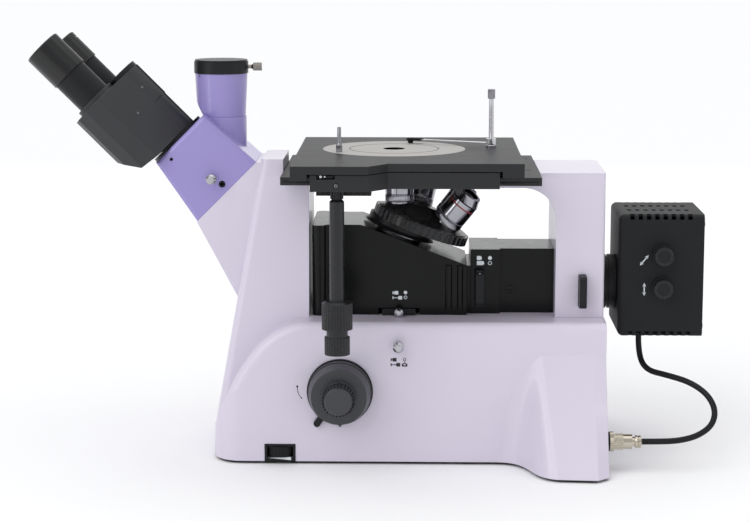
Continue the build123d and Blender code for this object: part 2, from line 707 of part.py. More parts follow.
with BuildPart() as fine_knobs:
    disc(side(focus_x, fine_start, focus_height), fine_rod_radius, 2 * fine_start)
    for hand in (-1, 1):
        outward = Plane(origin=(mid_x + focus_x, hand * fine_start, focus_height), x_dir=(1, 0, 0),
                        z_dir=(0, hand, 0))
        disc(outward, fine_radius, fine_grip)
        taper(outward.offset(fine_grip), fine_radius - 1.2, fine_tip_radius, fine_length - fine_grip - 1.5)
        taper(outward.offset(fine_length - 1.5), fine_tip_radius, fine_tip_radius - 1.5, 1.5)
save(fine_knobs.part, "fine_knobs")

# Clamp ring with its lever, round the near boss
lever_angle = 235.0
with BuildPart() as clamp_lever:
    with BuildSketch(side(focus_x, -base_half_width - slide_gap, focus_height)):
        Circle(coarse_radius + 1.2)
        Circle(boss_radius + run_gap, mode=Mode.SUBTRACT)
    extrude(amount=boss_height - 2 * slide_gap)
    with BuildSketch(side(focus_x, -base_half_width - slide_gap, focus_height)):
        with PolarLocations(coarse_radius + 4, 1, start_angle=lever_angle):
            SlotOverall(16, 7)
    extrude(amount=boss_height - 2 * slide_gap)
save(clamp_lever.part, "clamp_lever")

# Stage base plate on the two column seats, with rails along Y
opening_x = (-45.0, 75.0)
opening_half_depth = 72.0
rail_width = 8.0
rail_height = 2.0
rail_xs = (-53.0, 84.0)
groove_end = 4.0
groove_depth = 1.5
groove_low, groove_high = 3.0, 5.5
stop_hole = (143.7, 72.0)
stop_slot = (141.2, -35.0)
stop_slot_length = 7.0
stop_radius = 1.6
stop_depth = 4.0
with BuildPart() as stage_base_plate:
    block((stage_left, stage_right), (-stage_half_depth, stage_half_depth), (seat_height, plate_top))
    block(opening_x, (-opening_half_depth, opening_half_depth), (seat_height - 1, plate_top + 1), Mode.SUBTRACT)
    for x in rail_xs:
        block((x - rail_width / 2, x + rail_width / 2), (-stage_half_depth, stage_half_depth),
              (plate_top, plate_top + rail_height))
    for hand in (-1, 1):
        edge = hand * stage_half_depth
        block((stage_left + groove_end, stage_right - groove_end), sorted((edge - hand * groove_depth, edge + hand)),
              (seat_height + groove_low, seat_height + groove_high), Mode.SUBTRACT)
    disc(level(plate_top - stop_depth, *stop_hole), stop_radius, stop_depth + 1, Mode.SUBTRACT)
    with BuildSketch(level(plate_top, *stop_slot)):
        SlotOverall(stop_slot_length, 2 * stop_radius)
    extrude(amount=-stop_depth, mode=Mode.SUBTRACT)
save(stage_base_plate.part, "stage_base_plate")

# Cross slide: rides along Y on the base plate, carries the rack and the rails along X
slide_x = (-62.0, 96.0)
slide_front = -126.0
slide_back = 105.0
slide_opening = 51.0
opening_run = 16.0        # how far the opening is drawn out each way along Y
tab_thickness = 6.0
apron_bottom = slide_bottom - 7.3
apron_back = slide_front - 1.0
rack_top = apron_bottom - 0.6
rack_low = rack_top - 6.0
rack_line = handle_y + pinion_pitch
stage_module = 2 * pinion_pitch / stage_teeth
rack_ends = (-76.0, -21.0)
cross_rail_ys = (-96.0, 92.0)
with BuildPart() as cross_slide:
    block(slide_x, (slide_front, slide_back), (slide_bottom, slide_top))
    with BuildSketch(level(slide_bottom - 1, optic_x)):
        SlotCenterToCenter(2 * opening_run, 2 * slide_opening, rotation=90)
    extrude(amount=slide_thickness + 2, mode=Mode.SUBTRACT)
    for x in rail_xs:
        block((x - rail_width / 2 - slide_gap, x + rail_width / 2 + slide_gap), (slide_front - 1, slide_back + 1),
              (slide_bottom - 1, plate_top + rail_height + slide_gap), Mode.SUBTRACT)
    for y in cross_rail_ys:
        block(slide_x, (y - rail_width / 2, y + rail_width / 2), (slide_top, slide_top + rail_height))
    block((slide_x[0] + 15, rack_ends[1]), (slide_front, slide_front + tab_thickness), (rack_low, slide_top))
    block((slide_x[0] + 15, rack_ends[1]), (rack_line + 5, slide_front + tab_thickness), (rack_low, rack_top))
    block(rack_ends, (rack_line + 1.1 * stage_module, rack_line + 6), (rack_low, rack_top))
    with BuildSketch(level(rack_low)):
        for index in range(-9, 14):
            with Locations((handle_x + (index + 0.5) * math.pi * stage_module, rack_line + 1.1 * stage_module)):
                Polygon((-0.75 * stage_module, 0.2), (0.75 * stage_module, 0.2),
                        (0.25 * stage_module, -1.9 * stage_module), (-0.25 * stage_module, -1.9 * stage_module),
                        align=None)
    extrude(amount=rack_top - rack_low)
save(cross_slide.part, "cross_slide")

# Top plate with its stepped front edge, end lips and round seat for the insert
step_x = (-24.0, -4.0)
with BuildPart() as stage_plate:
    with BuildSketch(level(top_bottom)):
        with BuildLine():
            Polyline((top_left, top_front), (step_x[0], top_front), (step_x[1], top_step), (top_right, top_step),
                     (top_right, top_back), (top_left, top_back), close=True)
        make_face()
    extrude(amount=top_thickness)
    block((top_left, top_left + lip_width), (top_front, top_back), (top_bottom - lip_drop, top_bottom))
    block((top_right - lip_width - 5, top_right), (top_step, top_back), (top_bottom - lip_drop, top_bottom))
    disc(level(stage_top - insert_seat), insert_radius + slide_gap, insert_seat + 1, Mode.SUBTRACT)
    disc(level(top_bottom - 1), insert_radius - 4, top_thickness, Mode.SUBTRACT)
    for y in cross_rail_ys:
        block((top_left + lip_width, top_right - lip_width - 5),
              (y - rail_width / 2 - slide_gap, y + rail_width / 2 + slide_gap),
              (top_bottom - 1, slide_top + rail_height + slide_gap), Mode.SUBTRACT)
save(stage_plate.part, "stage_plate")

drive_rod_radius = 3.0
apron_inset = 3.0
stop_recess = (-74.5, -56.0)
recess_height = 5.2
recess_depth = 6.0
with BuildPart() as stage_apron:
    with BuildSketch(level(apron_bottom)):
        with BuildLine():
            Polyline((top_left + lip_width + apron_inset, top_front + apron_inset),
                     (step_x[0], top_front + apron_inset), (step_x[1], top_step + apron_inset / 2),
                     (top_right - lip_width - 8, top_step + apron_inset / 2),
                     (top_right - lip_width - 8, apron_back), (top_left + lip_width + apron_inset, apron_back),
                     close=True)
        make_face()
    extrude(amount=top_bottom - apron_bottom)
    disc(level(apron_bottom - 1, handle_x, handle_y), drive_rod_radius + run_gap, 13, Mode.SUBTRACT)
    block(stop_recess, (top_front + apron_inset - 1, top_front + apron_inset + recess_depth),
          (top_bottom - recess_height, top_bottom + 1), Mode.SUBTRACT)
save(stage_apron.part, "stage_apron")

with BuildPart() as insert_ring:
    disc(level(stage_top - insert_seat), insert_radius, insert_seat)
    disc(level(stage_top - 2), centre_radius + slide_gap, 3, Mode.SUBTRACT)
    disc(level(stage_top - insert_seat - 1), centre_radius - 4, insert_seat + 2, Mode.SUBTRACT)
save(insert_ring.part, "insert_ring")

with BuildPart() as insert_centre:
    disc(level(stage_top - 2), centre_radius, 2)
    disc(level(stage_top - 3), specimen_radius, 4, Mode.SUBTRACT)
save(insert_centre.part, "insert_centre")

# Short turning pin on the insert, tall post with the specimen clip beside it
pin_x, pin_y = -57.0, -36.0
with BuildPart() as insert_pin:
    disc(level(stage_top, pin_x, pin_y), 3.2, 8)
    taper(level(stage_top + 8, pin_x, pin_y), 3.2, 2.0, 1.5)
    disc(level(stage_top + 9.5, pin_x, pin_y), 2.0, 17)
save(insert_pin.part, "insert_pin")

post_x, post_y = 103.4, 15.0
post_radius = 2.6
collar_height = 6.0
arm_rise = 3.9
with BuildPart() as clip_post:
    disc(level(stage_top, post_x, post_y), 5.5, 3)
    disc(level(stage_top, post_x, post_y), post_radius, 54)
    disc(level(stage_top + 52, post_x, post_y), 3.9, 10)
save(clip_post.part, "clip_post")

clip_tip = (14.5, 55.0)
with BuildPart() as clip_arm:
    disc(level(stage_top + 3 + slide_gap, post_x, post_y), 5.2, collar_height)
    reach = math.hypot(clip_tip[0] - post_x, clip_tip[1] - post_y)
    heading = math.degrees(math.atan2(clip_tip[1] - post_y, clip_tip[0] - post_x))
    arm_plane = Plane(origin=(mid_x + post_x, post_y, stage_top + arm_rise),
                      x_dir=(math.cos(math.radians(heading)), math.sin(math.radians(heading)), 0), z_dir=(0, 0, 1))
    with BuildSketch(arm_plane):
        with BuildLine():
            Polyline((0, -2.6), (reach - 22, -1.6), (reach - 16, -3.4), (reach, -3.4), (reach, 3.4),
                     (reach - 16, 3.4), (reach - 22, 1.6), (0, 2.6), close=True)
        make_face()
    extrude(amount=1.2)
    disc(level(stage_top, post_x, post_y), post_radius + run_gap, 20, Mode.SUBTRACT)
save(clip_arm.part, "clip_arm")

# Coaxial stage handle: sleeve with the X pinion and the upper knob, rod with the lower knob
sleeve_radius = 7.4
upper_knob_radius = 15.5
lower_knob_radius = 12.8
lower_knob_height = 18.0
neck_height = 8.0
upper_knob_bottom = handle_bottom + lower_knob_height + neck_height
upper_knob_height = 28.5
pinion_bottom = rack_low - 2
with BuildPart() as x_drive:
    disc(level(upper_knob_bottom, handle_x, handle_y), sleeve_radius, pinion_bottom - upper_knob_bottom - 3)
    taper(level(pinion_bottom - 3, handle_x, handle_y), sleeve_radius, 4.6, 3)
    add(pinion(level(pinion_bottom, handle_x, handle_y), stage_teeth, apron_bottom - slide_gap - pinion_bottom))
    add(fluted_disc(level(upper_knob_bottom, handle_x, handle_y), upper_knob_radius, upper_knob_height - 2, 30, 0.8))
    taper(level(upper_knob_bottom + upper_knob_height - 2, handle_x, handle_y), upper_knob_radius - 1,
          upper_knob_radius - 3, 2)
    disc(level(upper_knob_bottom - 1, handle_x, handle_y), drive_rod_radius + run_gap, stage_top, Mode.SUBTRACT)
save(x_drive.part, "x_drive")

with BuildPart() as y_drive:
    add(fluted_disc(level(handle_bottom, handle_x, handle_y), lower_knob_radius, lower_knob_height, 26, 0.8))
    disc(level(handle_bottom + lower_knob_height, handle_x, handle_y), lower_knob_radius - 2, neck_height - slide_gap)
    disc(level(handle_bottom, handle_x, handle_y), drive_rod_radius, apron_bottom + 11 - handle_bottom)
save(y_drive.part, "y_drive")

# Head block on the neck, with the foot of the photo tube
head_edge = 5.0
foot_tube_radius = 26.3
foot_tube_bottom = head_height - 12.0
photo_radius = 25.5
photo_top_radius = 27.7
photo_bore = 20.0
arm_swing = 44.0          # free radius round the head's axis where the binocular arms swing
pivot_hole = (block_end - 9, -13.0)
plug_hole = (seam + 9, 6.0)
with BuildPart() as head_block:
    with BuildSketch(head_side):
        with BuildLine():
            Polyline((seam, seam_low), (seam, seam_high), (block_end, block_high), (block_end, block_low), close=True)
        make_face()
    extrude(amount=head_half_width, both=True)
    fillet(head_block.edges().filter_by(
        lambda e: abs(abs(e.center().Y) - head_half_width) < 0.01
        and head_side.to_local_coords(e.center()).X > seam + 1), head_edge)
    disc(level(foot_tube_bottom, photo_x), foot_tube_radius, photo_seam - foot_tube_bottom)
    disc(head_axis.offset(block_end), arm_swing, 2 * arm_swing, Mode.SUBTRACT)
    disc(head_axis.offset(seam - 1), light_radius, block_end - seam + 2, Mode.SUBTRACT)
    disc(level(head_height - photo_shift, photo_x), light_radius, photo_seam + 1 - head_height + photo_shift,
         Mode.SUBTRACT)
    disc(side(head_rod_x, head_stem - 4 - head_half_width + slide_gap, head_rod_height), head_rod_radius + run_gap,
         head_stem, Mode.SUBTRACT)
    for (t, n), radius in ((pivot_hole, 1.8), (plug_hole, 3.6)):
        x, z = head_point(t, n)
        disc(side(x, 3 - head_half_width, z), radius, 4, Mode.SUBTRACT)
save(head_block.part, "head_block")

with BuildPart() as photo_tube:
    taper(level(photo_seam, photo_x), photo_radius, photo_top_radius, photo_top - photo_seam)
    disc(head_axis.offset(block_end), arm_swing, 2 * arm_swing, Mode.SUBTRACT)
    add(head_block.part, mode=Mode.SUBTRACT)
    disc(level(photo_seam - 1, photo_x), photo_bore, photo_top - photo_seam + 2, Mode.SUBTRACT)
save(photo_tube.part, "photo_tube")

ring_height = 12.0
ring_radius = 28.6
screw_shaft_radius = 2.0
screw_head_radius = 4.3
screw_head_x = (photo_x + 34.0, photo_x + 43.0)
screw_height = photo_top + 6.5
screw_tip = photo_x + photo_bore + 1
with BuildPart() as photo_ring:
    disc(level(photo_top, photo_x), ring_radius, ring_height)
    disc(level(photo_top - 1, photo_x), photo_bore, ring_height + 2, Mode.SUBTRACT)
    disc(facing_rear(photo_x, 0, screw_height), screw_shaft_radius + run_gap, ring_radius + 1, Mode.SUBTRACT)
save(photo_ring.part, "photo_ring")

with BuildPart() as photo_screw:
    disc(facing_rear(screw_tip, 0, screw_height), screw_shaft_radius, screw_head_x[0] - screw_tip)
    taper(facing_rear(screw_head_x[0] - 2, 0, screw_height), screw_shaft_radius, screw_head_radius - 1, 2)
    add(fluted_disc(facing_rear(screw_head_x[0], 0, screw_height), screw_head_radius,
                    screw_head_x[1] - screw_head_x[0], 16, 0.4))
save(photo_screw.part, "photo_screw")

cap_flange = 2.0
with BuildPart() as dust_cap:
    disc(level(photo_top + 2, photo_x), photo_bore - run_gap, ring_height - 2)
    disc(level(photo_top + ring_height, photo_x), ring_radius - 0.8, cap_flange)
    disc(level(photo_top + 1, photo_x), photo_bore - 2, ring_height - 1, Mode.SUBTRACT)
save(dust_cap.part, "dust_cap")

# Binocular: two arms that swing on a hub, one tube and one eyepiece on each
mount_radius = 33.0
mount_thickness = 3.5
arm_round = 25.6          # round back of the arms about the hub
hub_cap = 5.0
hub_cap_edge = 4.0        # straight edge of the hub's cap, clear of the eyepiece tubes
arm_begin = block_end + mount_thickness + slide_gap
arm_end = arm_begin + arm_length
turn_cos, turn_sin = math.cos(math.radians(binocular_turn)), math.sin(math.radians(binocular_turn))
binocular_axis = Plane(origin=head_axis.origin, x_dir=(diagonal * turn_cos, turn_sin, diagonal * turn_cos),
                       z_dir=head_axis.z_dir)
with BuildPart() as binocular_mount:
    disc(head_axis.offset(block_end), mount_radius, mount_thickness)
    disc(head_axis.offset(block_end), hub_radius, arm_end + slide_gap - block_end)
    with BuildSketch(binocular_axis.offset(arm_end + slide_gap)):
        Circle(arm_round)
        with Locations((hub_cap_edge - arm_round, 0)):
            Rectangle(2 * arm_round, 2 * arm_round, mode=Mode.SUBTRACT)
        Circle(hub_radius)
    extrude(amount=hub_cap)
save(binocular_mount.part, "binocular_mount")

arm_bottom = -56.0
arm_reach = 60.0
arm_split = 10.9          # angle left free at each side of the middle, for the swing
flank_start = arm_round * diagonal
tube_collar_radius = 22.5
tube_collar = 5.0
spigot_radius = 15.0
socket_depth = 30.0
tube_end = arm_end + tube_collar
plate_step = 0.7          # raised pad on the round back
plate_length = 42.0
plate_edge = 14.0


def pupil_plane(hand, t):
    """Plane square to one eyepiece's axis."""
    origin = binocular_axis.offset(t).from_local_coords((pupil_drop, hand * pupil_half_spacing, 0))
    return Plane(origin=origin, x_dir=head_axis.x_dir, z_dir=head_axis.z_dir)


def free_side(hand):
    """Cut away the other arm's side of the middle, with the wedge that the swing needs."""
    far = 2 * arm_reach
    rise = far * math.tan(math.radians(arm_split))
    Polygon((0, 0), (far, hand * rise), (far, -hand * far), (-far, -hand * far), (-far, hand * rise), align=None,
            mode=Mode.SUBTRACT)


def binocular_arm(hand):
    """One arm of the binocular; hand is the sign of its Y."""
    with BuildPart() as arm:
        with BuildSketch(binocular_axis.offset(arm_begin)):
            Circle(arm_round)
            with BuildLine():
                Polyline((flank_start, hand * flank_start), (-16, hand * arm_reach), (-36, hand * (arm_reach - 3)),
                         (-50, hand * 47), (arm_bottom, hand * 36), (arm_bottom, 0), (flank_start, 0), close=True)
            make_face()
            free_side(hand)
        extrude(amount=arm_length)
        with BuildSketch(head_side):
            with BuildLine():
                Polyline((arm_begin - 1, -12), (arm_begin + 2.7, -40), (arm_begin + 25, arm_bottom - 2),
                         (arm_begin - 1, arm_bottom - 2), close=True)
            make_face()
        extrude(amount=2 * arm_reach, both=True, mode=Mode.SUBTRACT)
        with BuildSketch(binocular_axis.offset(arm_end - plate_length)):
            Circle(arm_round + plate_step)
            free_side(hand)
            with Locations((plate_edge - arm_reach, 0)):
                Rectangle(2 * arm_reach, 2 * arm_reach, mode=Mode.SUBTRACT)
        extrude(amount=plate_length)
        disc(pupil_plane(hand, arm_end), tube_collar_radius, tube_collar)
        disc(pupil_plane(hand, arm_end - socket_depth), spigot_radius + run_gap, socket_depth + tube_collar + 1,
             Mode.SUBTRACT)
        disc(head_axis.offset(arm_begin - 1), hub_radius + run_gap, arm_length + 2, Mode.SUBTRACT)
    return arm.part


diopter_bore = 11.8
eye_spigot = 30.0
lens_radius = 12.0
diopter_begin = tube_end + slide_gap
diopter_end = diopter_begin + diopter_length
eyepiece_begin = diopter_end + slide_gap
ring_groove = 8.0         # groove below the eyepiece's rim


def diopter(hand):
    """Diopter tube: a spigot in the arm and a bore for the eyepiece."""
    with BuildPart() as tube:
        disc(pupil_plane(hand, tube_end - socket_depth + 2), spigot_radius, socket_depth)
        disc(pupil_plane(hand, diopter_begin), diopter_radius, diopter_length)
        disc(pupil_plane(hand, tube_end - socket_depth), diopter_bore, socket_depth + diopter_length + 2,
             Mode.SUBTRACT)
    return tube.part


def eyepiece(hand):
    """Eyepiece: spigot, barrel, and a sunk front lens; the far one is shorter and has a ring groove."""
    eyepiece_end = eyepiece_begin + eyepiece_lengths[hand]
    with BuildPart() as barrel:
        disc(pupil_plane(hand, eyepiece_begin - eye_spigot), diopter_bore - run_gap, eye_spigot)
        disc(pupil_plane(hand, eyepiece_begin), eyepiece_radius, eyepiece_lengths[hand] - 1)
        taper(pupil_plane(hand, eyepiece_end - 1), eyepiece_radius, eyepiece_radius - 1, 1)
        taper(pupil_plane(hand, eyepiece_end - 6), lens_radius, eyepiece_radius - 2.5, 6.5, Mode.SUBTRACT)
        disc(pupil_plane(hand, eyepiece_begin - eye_spigot - 1), diopter_bore - 2, eye_spigot, Mode.SUBTRACT)
        taper(pupil_plane(hand, eyepiece_end - 6), lens_radius - 0.5, lens_radius - 3, 1.2)
        if hand > 0:
            with BuildSketch(pupil_plane(hand, eyepiece_end - ring_groove)):
                Circle(eyepiece_radius + 1)
                Circle(eyepiece_radius - 0.8, mode=Mode.SUBTRACT)
            extrude(amount=1.2, mode=Mode.SUBTRACT)
    return barrel.part


for hand, end in ((-1, "near"), (1, "far")):
    save(binocular_arm(hand), f"binocular_arm_{end}")
    save(diopter(hand), f"diopter_{end}")
    save(eyepiece(hand), f"eyepiece_{end}")

# Lamp house on its collar
lens_x = (224.0, 232.0)
collar_bore = 20.0
lamp_edge = 6.0
knob_x = 281.0
knob_heights = {"upper": lamp_height + 37.0, "lower": lamp_height + 2.4}
knob_stem_radius = 3.0
vent_pitch = 8.6
vent_count = 8
vent_size = (4.6, 9.0)
vent_depth = 5.5
vent_x = 279.0
vent_rows = (-lamp_half_width + 2.5, -16.0, 16.0, lamp_half_width - 2.5)
grommet_x, grommet_y = 261.0, -20.0
grommet_radius = 6.0
grommet_height = 3.0
with BuildPart() as lamp_collar:
    disc(facing_rear(base_rear, 0, lamp_height), collar_radius, lamp_front - base_rear)
    disc(facing_rear(base_rear + 6, 0, lamp_height), collar_radius + 1, 2.0, Mode.SUBTRACT)
    disc(facing_rear(base_rear, 0, lamp_height), collar_radius - 2, lamp_front - base_rear)
    disc(facing_rear(base_rear - 1, 0, lamp_height), collar_bore, lamp_front - base_rear + 2, Mode.SUBTRACT)
save(lamp_collar.part, "lamp_collar")

with BuildPart() as lamp_house:
    block((lamp_front, lamp_rear), (-lamp_half_width, lamp_half_width), (lamp_bottom, lamp_top))
    fillet(lamp_house.edges().filter_by(
        lambda e: e.center().X < mid_x + lamp_rear - 1), lamp_edge)
    block((lamp_front + lamp_wall, lamp_rear + 1), (lamp_wall - lamp_half_width, lamp_half_width - lamp_wall),
          (lamp_bottom + lamp_wall, lamp_top - lamp_wall), Mode.SUBTRACT)
    disc(facing_rear(lamp_front - 1, 0, lamp_height), collar_bore, lamp_wall + 2, Mode.SUBTRACT)
    for z, reach in ((lamp_top + 1, -vent_depth - 1), (lamp_bottom - 1, vent_depth + 1)):
        with BuildSketch(level(z)):
            for y in vent_rows:
                with Locations((vent_x, y)):
                    with GridLocations(vent_pitch, 1, vent_count, 1):
                        Rectangle(*vent_size)
        extrude(amount=reach, mode=Mode.SUBTRACT)
    for height in knob_heights.values():
        disc(side(knob_x, lamp_wall + 1 - lamp_half_width, height), knob_stem_radius + run_gap, lamp_wall + 2,
             Mode.SUBTRACT)
    disc(level(lamp_bottom - grommet_height, grommet_x, grommet_y), grommet_radius, grommet_height)
save(lamp_house.part, "lamp_house")

with BuildPart() as lamp_house_cover:
    block((lamp_rear - lamp_wall, lamp_rear), (lamp_wall - lamp_half_width, lamp_half_width - lamp_wall),
          (lamp_bottom + lamp_wall, lamp_top - lamp_wall))
    for z in (lamp_height - 38, lamp_height + 52):
        with BuildSketch(facing_rear(lamp_rear, 0, z)):
            with GridLocations(12, 1, 5, 1):
                SlotOverall(14, 4, rotation=90)
        extrude(amount=-lamp_wall - 1, mode=Mode.SUBTRACT)
save(lamp_house_cover.part, "lamp_house_cover")

bulb_radius = 6.0
bulb_x = (264.0, 290.0)
with BuildPart() as halogen_lamp:
    block((bulb_x[1], lamp_rear - lamp_wall), (-11, 11), (lamp_height - 14, lamp_height + 14))
    disc(facing_rear(bulb_x[0] + bulb_radius, 0, lamp_height), bulb_radius, bulb_x[1] - bulb_x[0] - bulb_radius)
    with Locations((mid_x + bulb_x[0] + bulb_radius, 0, lamp_height)):
        Sphere(bulb_radius)
save(halogen_lamp.part, "halogen_lamp")

# Glass in the light path: the mirror below, the half mirror in its cube and the collector lens
with BuildPart() as optics:
    with Locations(mirror_plane.location):
        Box(2 * mirror_half * math.sqrt(2) - 2, 2 * mirror_half - 2, mirror_thickness, align=low)
    with Locations(glass_plane.location):
        Box(glass_length, glass_width, glass_thickness)
    disc(facing_rear(lens_x[0], 0, lamp_height), collar_bore - run_gap, lens_x[1] - lens_x[0])
save(optics.part, "optics")

knob_base_radius = 11.2
knob_tip_radius = 9.7
knob_base = 4.0
knob_reach = 16.0
for end, height in knob_heights.items():
    with BuildPart() as lamp_knob:
        disc(side(knob_x, lamp_wall + 2 - lamp_half_width, height), knob_stem_radius, lamp_wall + 2 + 2 * slide_gap)
        add(fluted_disc(side(knob_x, -lamp_half_width - slide_gap, height), knob_base_radius, knob_base, 30, 0.5))
        add(fluted_disc(side(knob_x, -lamp_half_width - slide_gap - knob_base, height), knob_tip_radius,
                        knob_reach - knob_base, 28, 0.5))
    save(lamp_knob.part, f"lamp_knob_{end}")

# Light control: wheel in a bezel at the near side of the base
wheel_x = (bezel_x[0] + bezel_x[1]) / 2
wheel_y = -88.5
wheel_radius = 13.0
wheel_height = (shell_bottom + 5.0, shell_bottom + 15.6)
wheel_pin = 2.0
bezel_rise = 0.6
with BuildPart() as dimmer_bezel:
    block(bezel_x, (-base_half_width - bezel_rise, bezel_depth - base_half_width), bezel_height)
    block((wheel_x - wheel_radius - 0.5, wheel_x + wheel_radius + 0.5),
          (-base_half_width - bezel_rise - 1, wheel_y + wheel_radius + 0.5),
          (wheel_height[0] - slide_gap, wheel_height[1] + slide_gap), Mode.SUBTRACT)
    disc(level(bezel_height[0] + 1.5, wheel_x, wheel_y), wheel_pin + run_gap, 15, Mode.SUBTRACT)
save(dimmer_bezel.part, "dimmer_bezel")

with BuildPart() as dimmer_wheel:
    add(fluted_disc(level(wheel_height[0], wheel_x, wheel_y), wheel_radius, wheel_height[1] - wheel_height[0],
                    40, 0.5))
    disc(level(bezel_height[0] + 2, wheel_x, wheel_y), wheel_pin, 14)
save(dimmer_wheel.part, "dimmer_wheel")

# Mains inlet and lamp socket at the rear
inlet_rim = 4.0
socket_flange = 3.0
with BuildPart() as rear_sockets:
    block((base_rear - wall - 1, base_rear), (inlet_y - inlet_half_width, inlet_y + inlet_half_width),
          (inlet_height - inlet_half_height, inlet_height + inlet_half_height))
    block((base_rear, base_rear + 2), (inlet_y - inlet_half_width - inlet_rim, inlet_y + inlet_half_width + inlet_rim),
          (inlet_height - inlet_half_height - inlet_rim, inlet_height + inlet_half_height + inlet_rim))
    block((base_rear - wall + 1, base_rear + 3), (inlet_y - inlet_half_width + 2, inlet_y + inlet_half_width - 2),
          (inlet_height - inlet_half_height + 2, inlet_height + inlet_half_height - 2), Mode.SUBTRACT)
    disc(facing_rear(base_rear - 3 * wall, plug_y, plug_height), socket_radius - run_gap, 3 * wall)
    disc(facing_rear(base_rear, plug_y, plug_height), socket_radius + 2, socket_flange)
save(rear_sockets.part, "rear_sockets")

# Lamp plug and the cable that hangs from the lamp house to it
plug_start = base_rear + socket_flange
plug_grip = 23.0
plug_radius = 8.5
tail_radius = 5.0
tail_length = 10.0
with BuildPart() as lamp_plug:
    add(fluted_disc(facing_rear(plug_start, plug_y, plug_height), plug_radius, plug_grip * 0.6, 24, 0.5))
    disc(facing_rear(plug_start + plug_grip * 0.6, plug_y, plug_height), plug_radius - 0.8, plug_grip * 0.4)
    taper(facing_rear(plug_start + plug_grip, plug_y, plug_height), tail_radius, tail_radius - 1, tail_length)
save(lamp_plug.part, "lamp_plug")

cable_end = plug_start + plug_grip + tail_length
route = [(grommet_x, grommet_y, lamp_bottom - grommet_height), (grommet_x, grommet_y, 104), (267, -38, 89),
         (288, -60, 88), (309, -78, 85), (326, -91, 75), (333.5, -100, 60),
         (329, -107, 45.5), (314, -112, 36), (296, plug_y, 31.5),
         (cable_end + 20, plug_y, plug_height), (cable_end, plug_y, plug_height)]
bend_share = 0.45         # share of the shorter run that each bend takes up
corners = [Vector(mid_x + x, y, z) for x, y, z in route]
bend_radii = []
for before, corner, after in zip(corners, corners[1:], corners[2:]):
    inward, outward = corner - before, after - corner
    half_turn = math.radians(inward.get_angle(outward)) / 2
    bend_radii.append(bend_share * min(inward.length, outward.length) / math.tan(half_turn))
with BuildPart() as lamp_cable:
    with BuildLine() as cable_path:
        FilletPolyline(*corners, radius=bend_radii)
    with BuildSketch(Plane(origin=corners[0], z_dir=corners[1] - corners[0])):
        Circle(cable_diameter / 2)
    sweep()
print("lamp_cable bend radii", [round(radius, 1) for radius in bend_radii])
print("lamp_cable length", round(cable_path.wire().length, 1))
save(lamp_cable.part, "lamp_cable")
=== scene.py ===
"""Finish and fine detail of an inverted trinocular microscope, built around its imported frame.

All sizes are in metres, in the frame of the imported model: X runs from the eyepieces to the lamp
house, Y from the near side to the far side, Z up.
"""

import logging
import math
from collections.abc import Callable, Sequence
from dataclasses import dataclass, field
from enum import Enum

import bmesh
import bpy
from mathutils import Matrix, Vector


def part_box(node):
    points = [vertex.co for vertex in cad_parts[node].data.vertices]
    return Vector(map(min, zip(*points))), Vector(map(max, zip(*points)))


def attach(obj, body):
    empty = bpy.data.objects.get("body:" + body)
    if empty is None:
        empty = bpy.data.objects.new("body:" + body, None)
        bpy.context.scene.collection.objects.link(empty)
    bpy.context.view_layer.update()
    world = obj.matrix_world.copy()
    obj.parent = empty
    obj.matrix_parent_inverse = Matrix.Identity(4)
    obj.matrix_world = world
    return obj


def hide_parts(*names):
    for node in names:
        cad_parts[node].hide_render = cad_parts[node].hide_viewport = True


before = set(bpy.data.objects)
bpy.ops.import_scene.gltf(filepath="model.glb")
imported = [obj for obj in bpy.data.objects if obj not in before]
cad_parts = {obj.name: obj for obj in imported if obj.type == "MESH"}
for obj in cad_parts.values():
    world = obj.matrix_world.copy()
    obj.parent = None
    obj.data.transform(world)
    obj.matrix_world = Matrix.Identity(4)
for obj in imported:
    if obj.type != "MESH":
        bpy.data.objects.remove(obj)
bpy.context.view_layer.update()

log = logging.getLogger("microscope")
Colour = tuple[float, float, float, float]
Point2 = tuple[float, float]
Point3 = tuple[float, float, float]
Sockets = dict[str, bpy.types.NodeSocket]

_hole_low, _hole_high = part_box("insert_centre")
MID_X = (_hole_low.x + _hole_high.x) / 2
PRINT_DEPTH = 0.00012
FULL_TURN = 2 * math.pi
SHARP_EDGE = math.radians(35)
EYES = ((-1, "near"), (1, "far"))


def srgb(text: str) -> Colour:
    """Turn a colour written as six hex digits into linear values.

    Args:
        text: Red, green and blue as RRGGBB.

    Returns:
        The linear colour, opaque.
    """
    shares = [int(text[i:i + 2], 16) / 255 for i in (0, 2, 4)]
    linear = [s / 12.92 if s <= 0.04045 else ((s + 0.055) / 1.055) ** 2.4 for s in shares]
    return (linear[0], linear[1], linear[2], 1.0)


def shade(colour: Colour, factor: float) -> Colour:
    """Return a colour made lighter or darker by a factor."""
    return (colour[0] * factor, colour[1] * factor, colour[2] * factor, 1.0)


def spot(x: float, y: float, z: float) -> Vector:
    """Return a point whose x counts from the specimen opening."""
    return Vector((MID_X + x, y, z))


def middle(node: str) -> Vector:
    """Return the centre of a CAD node, its x counted from the specimen opening."""
    low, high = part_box(node)
    return (low + high) / 2 - Vector((MID_X, 0, 0))


def plane(origin: Vector, across: Vector, normal: Vector) -> Matrix:
    """Make a local frame on a face.

    Args:
        origin: Where the frame stands.
        across: Direction of its first axis.
        normal: Direction of its third axis, out of the face.

    Returns:
        The matrix from the local frame to the model's frame.
    """
    third = normal.normalized()
    second = third.cross(across).normalized()
    first = second.cross(third)
    turned = Matrix((first, second, third)).transposed().to_4x4()
    return Matrix.Translation(origin) @ turned


def near_face(x: float, y: float, z: float) -> Matrix:
    """Return a frame on a face towards the near side, with its axes along X and Z."""
    return plane(spot(x, y, z), Vector((1, 0, 0)), Vector((0, -1, 0)))


